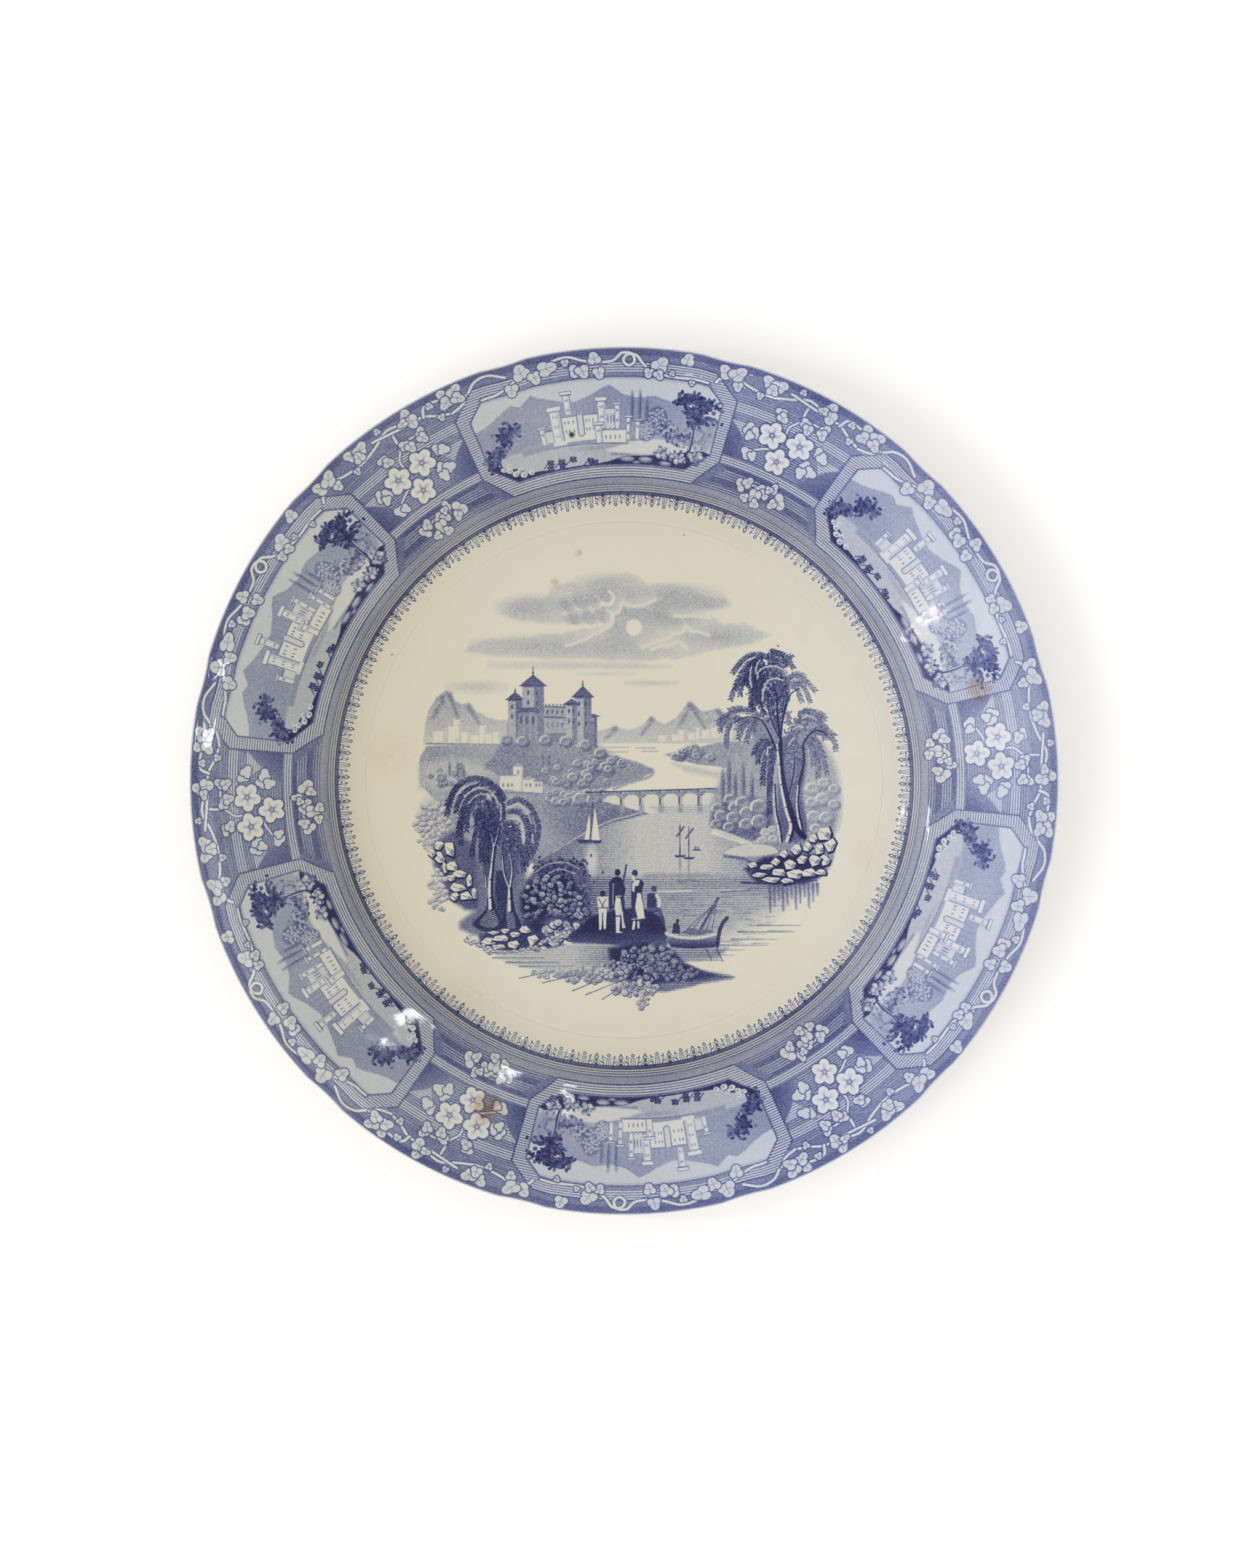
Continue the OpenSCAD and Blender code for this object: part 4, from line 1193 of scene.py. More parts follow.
RIM_BANK_LEFT = [
    (-35.2, 101), (-33, 101.6), (-30, 99.6), (-27, 98.8), (-24, 96.6), (-20, 96.2), (-14, 95.4), (-12, 95),
    (-28, 95),
]
RIM_BANK_RIGHT = [
    (35.4, 101), (33, 101.4), (28, 100.2), (22, 98.8), (16, 97.8), (8, 97.4), (3, 96), (-4, 95.2),
    (28.2, 95),
]


def rim_shore(s, rng):
    """The dark near bank with its stones and sprigs."""
    for bank in (RIM_BANK_LEFT, RIM_BANK_RIGHT):
        s.area(bank, 0.92, soft=0.3)
    s.line(-28, 95.2, 28, 95.2, 0.5, 0.86)
    for x, y, w in ((-29.6, 99, 1.1), (-28, 97.6, 1.2), (-26.4, 98.2, 0.9), (-25.6, 96.6, 1.2),
                    (-23, 96.6, 1), (-31.4, 99.8, 0.9), (-29.4, 100.4, 0.8)):
        s.dab(x, y, w, w * 0.75, rng.uniform(-40, 40), 0.08, soft=0.25)
        s.dab(x + 0.2, y - 0.1, w * 0.4, w * 0.2, 40, 0.5)
    for x, y, w, h in ((9, 96.6, 2.3, 0.8), (15, 96.6, 2.2, 0.9), (21.6, 95.9, 1.8, 0.7),
                       (12, 95.6, 1, 0.4)):
        s.dab(x, y, w, h, 0, 0.4, soft=0.5)
        s.dab(x, y + 0.25, w * 0.8, h * 0.4, 0, 0.2, soft=0.4)
    leafy(s, (20, 99), (2.6, 1.3), 12, 0.8, 0.05, 0.7, 91, back=False)
    leafy(s, (25.4, 98), (2.4, 1.4), 14, 0.8, 0.04, 0.8, 92, back=False)
    leafy(s, (31, 99.2), (2.2, 1.3), 12, 0.8, 0.06, 0.7, 93, back=False)
    for x, y, way in ((-17, 97.8, 1), (-15.6, 96.2, -1), (-13.4, 97.4, 1), (-11.6, 96.4, -1),
                      (-9.6, 97.6, 1), (-4, 96.6, 1), (-2.6, 96, 1)):
        s.bend([(x - 1.6, y - 1.2), (x, y), (x + 1.8 * way, y + 0.6)], 0.28, 0.8)
        for k in range(3):
            s.dab(x + way * (0.2 + 0.7 * k), y + 0.5 - 0.2 * k, 0.6, 0.26, 60 * way, 0.88)
            s.dab(x + way * (0.3 + 0.7 * k), y - 0.5, 0.5, 0.24, -50 * way, 0.86)


def petal_flower(s, x, y, size, turn=0.0):
    """An open flower: five notched white petals round a hatched heart."""
    for k in range(5):
        lean = math.radians(turn + 72 * k)
        px, py = x + size * 0.56 * math.cos(lean), y + size * 0.56 * math.sin(lean)
        s.dab(px, py, size * 0.5, size * 0.46, turn + 72 * k, 0.7, soft=0.3)
    for k in range(5):
        lean = math.radians(turn + 72 * k)
        px, py = x + size * 0.55 * math.cos(lean), y + size * 0.55 * math.sin(lean)
        s.dab(px, py, size * 0.43, size * 0.38, turn + 72 * k, 0.03, soft=0.25)
        nx, ny = x + size * 1.02 * math.cos(lean), y + size * 1.02 * math.sin(lean)
        s.dab(nx, ny, size * 0.09, size * 0.07, 0, 0.55, soft=0.2)
        for spread in (-0.18, 0, 0.18):
            ex, ey = x + size * 0.62 * math.cos(lean + spread), y + size * 0.62 * math.sin(lean + spread)
            s.line(x, y, ex, ey, 0.22, 0.42, end_width=0.1, strength=0.8)
    s.dab(x, y, size * 0.2, tone=0.5, soft=0.5)
    s.dab(x, y, size * 0.1, tone=0.16, soft=0.2)


def white_leaf(s, x, y, size, turn, veins=True):
    """A three-lobed leaf, white with a shaded outline and a vein."""
    lean = math.radians(turn)
    c, n = math.cos(lean), math.sin(lean)
    lobes = [(x + size * 0.4 * c, y + size * 0.4 * n, 0.72),
             (x - size * 0.3 * c - size * 0.42 * n, y - size * 0.3 * n + size * 0.42 * c, 0.6),
             (x - size * 0.3 * c + size * 0.42 * n, y - size * 0.3 * n - size * 0.42 * c, 0.6)]
    for grow, tone in ((0.3, 0.66), (0.0, 0.1)):
        for px, py, part in lobes:
            s.dab(px, py, size * part + grow, size * part * 0.86 + grow, turn, tone, soft=0.16)
    if veins:
        s.line(x - size * 0.7 * c, y - size * 0.7 * n, x + size * 0.7 * c, y + size * 0.7 * n, 0.2, 0.5,
               strength=0.8)
        for side in (-1, 1):
            s.stroke([(x - size * 0.1 * c, y - size * 0.1 * n),
                      (x + size * (0.2 * c - 0.5 * side * n), y + size * (0.2 * n + 0.5 * side * c))], 0.16,
                     0.42)


def vine(s, points, width=0.8):
    """A pale stem with a dark outline."""
    path = smooth(points, 8)
    s.stroke(path, width + 0.55, 0.6)
    s.stroke(path, width, 0.04)


FLOWER_LEAVES = (
    (-11.4, 111.8, 1.3, 90), (-9.8, 111.2, 1.2, -40), (-9.8, 104.9, 1.3, 150), (-8, 104.6, 1, -60),
    (9.4, 113.8, 1.2, 120), (10.8, 113, 1.2, -30), (7.6, 108.4, 1.2, 80), (9.8, 107.6, 1.3, 0),
    (7.4, 106.2, 1.2, -80), (-10.8, 109.9, 1, -120),
)
SPRIG_LEAVES = (
    (-7.6, 95.6, 1.8, 150), (-6, 96.8, 1.5, 60), (2.6, 98.2, 1.4, 80), (5.8, 95.4, 2.2, -25),
    (4.4, 94, 1.4, -120), (-1.4, 96.2, 1.6, 200), (0.6, 95.8, 1.5, -60), (-2.2, 93.9, 1.9, -90),
    (-5.2, 92.4, 1.3, 180), (-1.2, 91.8, 1.4, -10), (1.4, 97.4, 1.1, 20),
)


def flower_panel(s, x):
    """The three open flowers between two cartouches, and the sprigs above and below them."""
    vine(s, [(x - 1, 107), (x - 4, 108.4), (x - 9.6, 105.6)], 0.6)
    vine(s, [(x + 2.4, 108), (x + 6, 110), (x + 8, 108)], 0.6)
    vine(s, [(x + 1, 124), (x + 0.6, 119.6), (x - 1.4, 116.4), (x - 1, 112)], 0.6)
    vine(s, [(x + 0.8, 120), (x + 4.6, 120.6), (x + 8, 120.2)], 0.5)
    for dx, y, size, turn in FLOWER_LEAVES:
        white_leaf(s, x + dx, y, size * 1.45, turn, veins=False)
    petal_flower(s, x - 4.8, 112.4, 4.2, 12)
    petal_flower(s, x + 3.6, 112.8, 4.2, 40)
    petal_flower(s, x - 0.5, 105.8, 4.1, 20)
    for dx, y, turn in ((-4.9, 119.6, 30), (-4, 118.4, -30), (2.2, 119.8, 0), (7.6, 120.6, 70),
                        (7.4, 119, -60), (3.4, 118.4, -80)):
        white_leaf(s, x + dx, y, 1.6, turn)
    vine(s, [(x - 6, 96), (x - 1, 97.6), (x + 2.2, 98.6), (x + 5, 95.8)], 0.5)
    vine(s, [(x - 0.6, 97.6), (x - 2, 93.6)], 0.5)
    for dx, y, size, turn in SPRIG_LEAVES:
        white_leaf(s, x + dx, y, size * 1.15, turn)


VINE_PATHS = (
    [(-60, 126), (-55, 125), (-50, 124.4), (-45.6, 124.2), (-42, 122.4), (-38, 121.2), (-36, 121.4)],
    [(-45.6, 124), (-44, 126.8), (-38, 126.2), (-33.4, 124.6), (-30.4, 127.2), (-26.4, 128), (-22.6, 126.2)],
    [(-30, 121.4), (-26.4, 121.6), (-23.2, 122.8), (-18.6, 125), (-14, 125.2), (-10.2, 127.2),
     (-6.2, 127.8), (-2.4, 126.2), (1.4, 125.4), (5.2, 125.8), (7.4, 128), (9.8, 127.8), (10.6, 125.6),
     (9.2, 124.2), (7.8, 125.6), (8.6, 127.4), (11, 127.4), (13, 124.6), (16, 122.4), (21.2, 121.6),
     (26, 121.8), (30, 121.8)],
    [(32, 122.6), (33.2, 124.2), (37, 125), (40.6, 123.6), (46, 122.8), (51.4, 124.2), (56, 126.4),
     (60, 125.6)],
    [(-38.4, 121.2), (-35, 122.4), (-33.4, 124.6)],
)
VINE_LEAVES = (
    (-49.4, 127, 1.6, 80), (-48.8, 124.8, 1.7, -80), (-51, 125.6, 1.1, 190), (-38.6, 127, 1.7, 120),
    (-35.8, 127, 1.7, 50), (-38.8, 124.8, 1.6, 220), (-35.6, 124.8, 1.5, -40), (-43, 126.2, 0.9, 90),
    (-41.4, 121.6, 0.9, -90), (-18.4, 126, 2, 100), (-15.2, 123.4, 1.6, -80), (-11.8, 125.4, 2, 10),
    (-21.8, 121.8, 1.6, -100), (-7, 126.2, 0.9, -90), (0.4, 126.6, 1.5, 100), (-4.6, 123.4, 1.6, -110),
    (-2.8, 123, 1.6, -70), (1.4, 122.2, 1.4, -80), (17.2, 124.8, 1.9, 60), (14.4, 122.2, 1.2, -100),
    (17, 121.8, 1.2, -60), (24, 127.2, 1.5, 80), (25.9, 120.6, 0.7, -90), (34.2, 126.4, 1.8, 130),
    (37, 126.4, 1.9, 50), (37.8, 122.8, 1.2, -80), (45.4, 126.8, 1.7, 140), (48, 126.6, 1.7, 40),
    (46.6, 124.8, 1.4, 90), (44, 122, 0.9, -90), (54, 127.8, 0.8, 90), (20.4, 122.6, 0.7, 80),
)


def vine_band(s):
    """The trailing vine along the edge and over the frame's top."""
    for side in (-UNIT, 0, UNIT):
        for path in VINE_PATHS:
            vine(s, [(x + side, y) for x, y in path], 0.75)
        for x, y, size, turn in VINE_LEAVES:
            white_leaf(s, x + side, y, size * 1.22, turn)


def lace(s):
    """The edging that hangs from the innermost ring: peaks over small beads, and bowls over short bars."""
    r = RING_R
    pitch = UNIT / 12
    for k in range(-7, 8):
        x = k * pitch
        s.stroke([(x - 2.85, r), (x - 2.8, r - 1.2), (x - 1.5, r - 1.5), (x, r - 3.7), (x + 1.5, r - 1.5),
                  (x + 2.8, r - 1.2), (x + 2.85, r)], 0.34, 0.7)
        s.bend([(x - 1.8, r - 0.3), (x - 1, r - 1.1), (x, r - 1.5), (x + 1, r - 1.1), (x + 1.8, r - 0.3)],
               0.26, 0.6)
        s.dab(x, r - 0.5, 0.75, 0.6, 0, 0.7)
        mid = x + pitch / 2
        for dx in (-0.8, 0, 0.8):
            s.line(mid + dx, r, mid + dx, r - 1.4, 0.28, 0.6)
        s.bend([(mid - 2.4, r - 3.1), (mid - 2.1, r - 2.6), (mid, r - 2.3), (mid + 2.1, r - 2.6),
                (mid + 2.4, r - 3.1)], 0.42, 0.66)
        s.dab(mid, r - 3.3, 0.66, 0.52, 0, 0.66)
        s.dab(mid, r - 3.3, 0.34, 0.26, 0, BARE)


def draw_border(step):
    """One sixth of the border."""
    s = Sheet((-64, 78), (64, 133), step)
    rng = np.random.default_rng(17)
    grounds(s)
    for side in (-1, 1):
        panel_corners(s, side)
    draw_frame(s)
    rim_sky(s)
    rim_grove(s, rng)
    rim_tree_right(s, rng)
    rim_tree_left(s, rng)
    rim_castle_rear(s)
    rim_castle_front(s)
    rim_shore(s, rng)
    s.stroke(PANEL + PANEL[:1], 0.4, 0.6)
    for x in (-UNIT / 2, UNIT / 2):
        flower_panel(s, x)
    vine_band(s)
    lace(s)
    s.stipple(0.1, 2)
    return s


# ---- Shape of the plate, in millimetres --------------------------------------

PLATE_R, CREST_R, WELL_R, FLOOR_R = 130.0, 122.0, 93.0, 82.0
FLOOR_Z, WALL_Z, CREST_Z = 7.4, 15.9, 25.0
EDGE_R, EDGE_Z = 2.0, 21.4
FLOOR_T, RIM_T = 4.6, 4.0
FOOT_R, FOOT_INNER_R, FOOT_H, FOOT_FILLET = 76.0, 73.0, 2.8, 1.2
FOOT_ROUND = 0.35
RIM_SLOPE = (CREST_Z - WALL_Z) / (CREST_R - WELL_R)
NOTCHES, FIRST_NOTCH, NOTCH_DEPTH, NOTCH_CURVE = 12, 16.3, 0.5, 80.0
CREASE_DEPTH, CREASE_W = 0.4, 5.5
# How softly a notch meets the round edge, in square millimetres
BITE_SOFT = 0.0025
LOBES_START_R, LOBES_FULL_R = 108, 128
# How far the rim leaves a plane, in two waves and in three round the plate
WARP_TWO, WARP_THREE = 0.12, 0.07
SEAM_R = 78.0
# Angle of the first castle view from +X, in degrees
FIRST_CARTOUCHE = 34.3
VIEW_SHIFT = (2.3, -1.2)
LAYER_T = 0.12
BODY_DROP = 0.2
WIPED_H = 0.6
# The corner of the colour map that the hidden side of a layer shares, and its size there
HIDDEN_PLACE, HIDDEN_SCALE = 0.965, 0.05
CELLS = 760
RING_STEP = 0.21
# Only every twelfth ring of the face is repeated on a layer's hidden side
HIDDEN_SKIP = 12
BACK_TURNS = 768


def bezier(p0, p1, p2, p3, count):
    """Points of a cubic curve."""
    t = np.linspace(0, 1, count)[:, None]
    p0, p1, p2, p3 = (np.array(p, float) for p in (p0, p1, p2, p3))
    return (1 - t) ** 3 * p0 + 3 * t * (1 - t) ** 2 * p1 + 3 * t * t * (1 - t) * p2 + t**3 * p3


def wall_curve():
    """The curved wall between the floor and the rim."""
    pull = (WELL_R - FLOOR_R) / 2
    return bezier((FLOOR_R, FLOOR_Z), (FLOOR_R + pull, FLOOR_Z), (WELL_R - pull, WALL_Z - pull * RIM_SLOPE),
                  (WELL_R, WALL_Z), 40)


def lip_curve():
    """The outer roll of the rim, from its crest to the round edge."""
    pull = (PLATE_R - CREST_R) * 0.3
    top = (PLATE_R - EDGE_R, EDGE_Z + EDGE_R)
    return bezier((CREST_R, CREST_Z), (CREST_R + pull, CREST_Z), (top[0] - pull, top[1]), top, 30)


def edge_arc(start, end):
    """Part of the half-round edge, between two angles from the horizontal in degrees."""
    turn = np.radians(np.linspace(start, end, 20))
    return np.stack([PLATE_R - EDGE_R + EDGE_R * np.cos(turn), EDGE_Z + EDGE_R * np.sin(turn)], 1)


def face_path(start_r):
    """Radius and height along the face, from the floor to the middle of the edge."""
    return np.vstack([[(start_r, FLOOR_Z)], wall_curve(), lip_curve(), edge_arc(90, 0)[1:]])


def back_path():
    """Radius and height from the middle of the edge, along the underside and the foot, to the axis."""
    under_lip = lip_curve()[::-1] - (0, RIM_T)
    under_wall = wall_curve()[::-1] + (FLOOR_T / 2, -FLOOR_T)
    turn = np.radians(np.linspace(0, 90, 8))
    hollow = np.stack([FOOT_FILLET * (1 - np.sin(turn)), FOOT_FILLET * (np.cos(turn) - 1)], 1)
    outside = (FOOT_R, FOOT_H) + hollow
    inside = ((FOOT_INNER_R, FOOT_H) + hollow * (-1, 1))[::-1]
    foot = [(FOOT_R, FOOT_ROUND), (FOOT_R - FOOT_ROUND, 0), (FOOT_INNER_R + FOOT_ROUND, 0),
            (FOOT_INNER_R, FOOT_ROUND)]
    return np.vstack([edge_arc(-1, -90), under_lip[1:], under_wall, outside, foot, inside, [(1.0, FOOT_H)]])


def even_steps(path, step):
    """The same path with points about one step apart."""
    along = np.r_[0, np.cumsum(np.hypot(*np.diff(path, axis=0).T))]
    at = np.linspace(0, along[-1], int(along[-1] / step) + 2)
    return np.stack([np.interp(at, along, path[:, k]) for k in (0, 1)], 1)


def lowered(path, by):
    """The path moved square to itself, below the face."""
    way = np.gradient(path, axis=0)
    way /= np.hypot(*way.T)[:, None]
    return path + by * np.stack([way[:, 1], -way[:, 0]], 1)


def ease(value, low, high):
    """0 below low and 1 above high, with a smooth step between them."""
    t = np.clip((value - low) / (high - low), 0, 1)
    return t * t * (3 - 2 * t)


def lobed(r, turn, z):
    """Moves points of the rim in to the lobed outline and down into the faint creases at the notches."""
    pitch = 2 * math.pi / NOTCHES
    off = (turn - math.radians(FIRST_NOTCH) + pitch / 2) % pitch - pitch / 2
    centre = PLATE_R - NOTCH_DEPTH + NOTCH_CURVE
    bite = PLATE_R - centre * np.cos(off) + np.sqrt(NOTCH_CURVE**2 - (centre * np.sin(off)) ** 2)
    bite = (bite + np.sqrt(bite**2 + BITE_SOFT)) / 2
    crease = np.exp(-((off * PLATE_R / CREASE_W) ** 2))
    near = ease(r, LOBES_START_R, LOBES_FULL_R)
    return r - bite * near, z - CREASE_DEPTH * crease * near


def warped(x, y, z):
    """The slight unevenness of a plate pressed and trimmed by hand."""
    out = ease(np.hypot(x, y), SEAM_R, PLATE_R)
    turn = np.arctan2(y, x)
    return z + out * (WARP_TWO * np.sin(2 * turn + 0.7) + WARP_THREE * np.sin(3 * turn + 2.1) - WARP_TWO)


def revolved(path, turns):
    """Points of a profile turned round the axis, as rows of rings, with the lobes and the unevenness."""
    r, z = lobed(path[:, :1], turns[None], np.repeat(path[:, 1:], len(turns), 1))
    x, y = r * np.cos(turns), r * np.sin(turns)
    return np.stack([x, y, warped(x, y, z)], -1)


def bands(rows, count, closed):
    """Quads between neighbouring rings, whose outsides face away from the profile's left."""
    index = np.arange(rows * count).reshape(rows, count)
    here = index if closed else index[:-1]
    above = np.roll(index, -1, 0) if closed else index[1:]
    return np.stack([here, above, np.roll(above, -1, 1), np.roll(here, -1, 1)], -1).reshape(-1, 4)


def make_piece(name, points, quads, tris, materials, smooth=None):
    """A mesh object from points in millimetres; its first faces are shaded smooth, or all of them."""
    mesh = bpy.data.meshes.new(name)
    mesh.vertices.add(len(points))
    mesh.vertices.foreach_set("co", (points * MM).astype(np.float32).ravel())
    corners = np.concatenate([quads.ravel(), tris.ravel()]).astype(np.int32)
    sizes = np.r_[np.full(len(quads), 4), np.full(len(tris), 3)]
    mesh.loops.add(len(corners))
    mesh.loops.foreach_set("vertex_index", corners)
    mesh.polygons.add(len(sizes))
    mesh.polygons.foreach_set("loop_start", np.r_[0, np.cumsum(sizes)[:-1]].astype(np.int32))
    shaded = len(sizes) if smooth is None else smooth
    mesh.polygons.foreach_set("use_smooth", np.arange(len(sizes)) < shaded)
    for material in materials:
        mesh.materials.append(material)
    mesh.update(calc_edges=True)
    piece = bpy.data.objects.new(name, mesh)
    bpy.context.scene.collection.objects.link(piece)
    return piece, corners


def print_on(piece, corners, points, ink, reach, seen):
    """Stores each point's ink, and a colour map seen from above with the hidden side in its corner."""
    layer = piece.data.attributes.new("ink", "FLOAT", "POINT")
    layer.data.foreach_set("value", ink.astype(np.float32))
    chart = 0.5 + points[:, :2] / (2 * reach)
    chart[seen:] = HIDDEN_PLACE + (chart[seen:] - 0.5) * HIDDEN_SCALE
    chart = chart[corners].astype(np.float32)
    piece.data.uv_layers.new(name="OFBake").data.foreach_set("uv", chart.ravel())


def grid_quads(cells):
    """The quads of a square grid of points, row by row."""
    index = np.arange((cells + 1) ** 2).reshape(cells + 1, cells + 1)
    return np.stack([index[:-1, :-1], index[:-1, 1:], index[1:, 1:], index[1:, :-1]], -1).reshape(-1, 4)


def disc_grid(radius):
    """A square grid bent into a disc, with its quads and the indices of its rim in order."""
    line = np.linspace(-1, 1, CELLS + 1)
    u, v = np.meshgrid(line, line)
    x, y = radius * u * np.sqrt(1 - v * v / 2), radius * v * np.sqrt(1 - u * u / 2)
    index = np.arange((CELLS + 1) ** 2).reshape(CELLS + 1, CELLS + 1)
    rim = np.concatenate([index[:-1, -1], index[-1, :0:-1], index[:0:-1, 0], index[0, :-1]])
    return np.stack([x.ravel(), y.ravel(), np.full(x.size, FLOOR_Z)], 1), grid_quads(CELLS), rim


def make_well_face(view, material):
    """The flat middle of the face, a closed thin layer that carries the printed view."""
    top, quads, rim = disc_grid(SEAM_R)
    side = top[rim] - (0, 0, LAYER_T)
    below = len(top) + np.arange(len(rim))
    face_count = len(quads)
    quads = np.vstack([quads, np.stack([rim, below, np.roll(below, -1), np.roll(rim, -1)], 1)])
    middle = len(top) + len(rim)
    tris = np.stack([np.roll(below, -1), below, np.full(len(rim), middle)], 1)
    points = np.vstack([top, side, [(0, 0, FLOOR_Z - LAYER_T)]])
    piece, corners = make_piece("well_face", points, quads, tris, [material], face_count)
    ink = view.sample(points[:, 0] - VIEW_SHIFT[0], points[:, 1] - VIEW_SHIFT[1])
    print_on(piece, corners, points, ink, SEAM_R, len(top))
    return piece, np.arctan2(top[rim, 1], top[rim, 0])


def make_border_face(border, turns, material):
    """The wall, the rim and the lip, a closed thin layer that carries the printed border."""
    face = even_steps(face_path(SEAM_R), RING_STEP)
    under = lowered(face, LAYER_T)[::-HIDDEN_SKIP]
    path = np.vstack([face, under, [(SEAM_R, FLOOR_Z - LAYER_T)]])
    points = revolved(path, turns).reshape(-1, 3)
    quads = bands(len(path), len(turns), True)
    face_count = (len(face) - 1) * len(turns)
    piece, corners = make_piece("border_face", points, quads, np.zeros((0, 3), int), [material], face_count)
    r, turn = np.meshgrid(path[:, 0], turns, indexing="ij")
    step = 2 * math.pi / REPEATS
    off = (math.radians(FIRST_CARTOUCHE) - turn + step / 2) % step - step / 2
    ink = border.sample(off.ravel() * RIM_MID, r.ravel())
    print_on(piece, corners, points, ink, PLATE_R, len(face) * len(turns))
    return piece


def make_body(glazed, bare):
    """The clay and its back: everything under the printed layers, with a bare resting face on the foot."""
    top = lowered(face_path(1.0), BODY_DROP)[:-1]
    path = even_steps(np.vstack([top, back_path()]), 1.0)
    turns = 2 * math.pi * np.arange(BACK_TURNS) / BACK_TURNS
    points = revolved(path, turns).reshape(-1, 3)
    last = len(points)
    points = np.vstack([points, [(0, 0, path[0, 1]), (0, 0, path[-1, 1])]])
    first_ring = np.arange(BACK_TURNS)
    last_ring = last - BACK_TURNS + first_ring
    tris = np.vstack([np.stack([first_ring, np.roll(first_ring, -1), np.full(BACK_TURNS, last)], 1),
                      np.stack([np.roll(last_ring, -1), last_ring, np.full(BACK_TURNS, last + 1)], 1)])
    quads = bands(len(path), BACK_TURNS, False)
    piece, _ = make_piece("plate_body", points, quads, tris, [glazed, bare])
    middle = np.concatenate([points[quads][:, :, 2].mean(1), np.full(len(tris), FOOT_H)])
    piece.data.polygons.foreach_set("material_index", (middle < WIPED_H).astype(np.int32))
    return piece


# ---- Materials ---------------------------------------------------------------

def tint(red, green, blue):
    """A colour given as display values from 0 to 255, in Blender's linear values."""
    return tuple((c / 255 / 12.92) if c < 10.3 else ((c / 255 + 0.055) / 1.055) ** 2.4
                 for c in (red, green, blue)) + (1,)


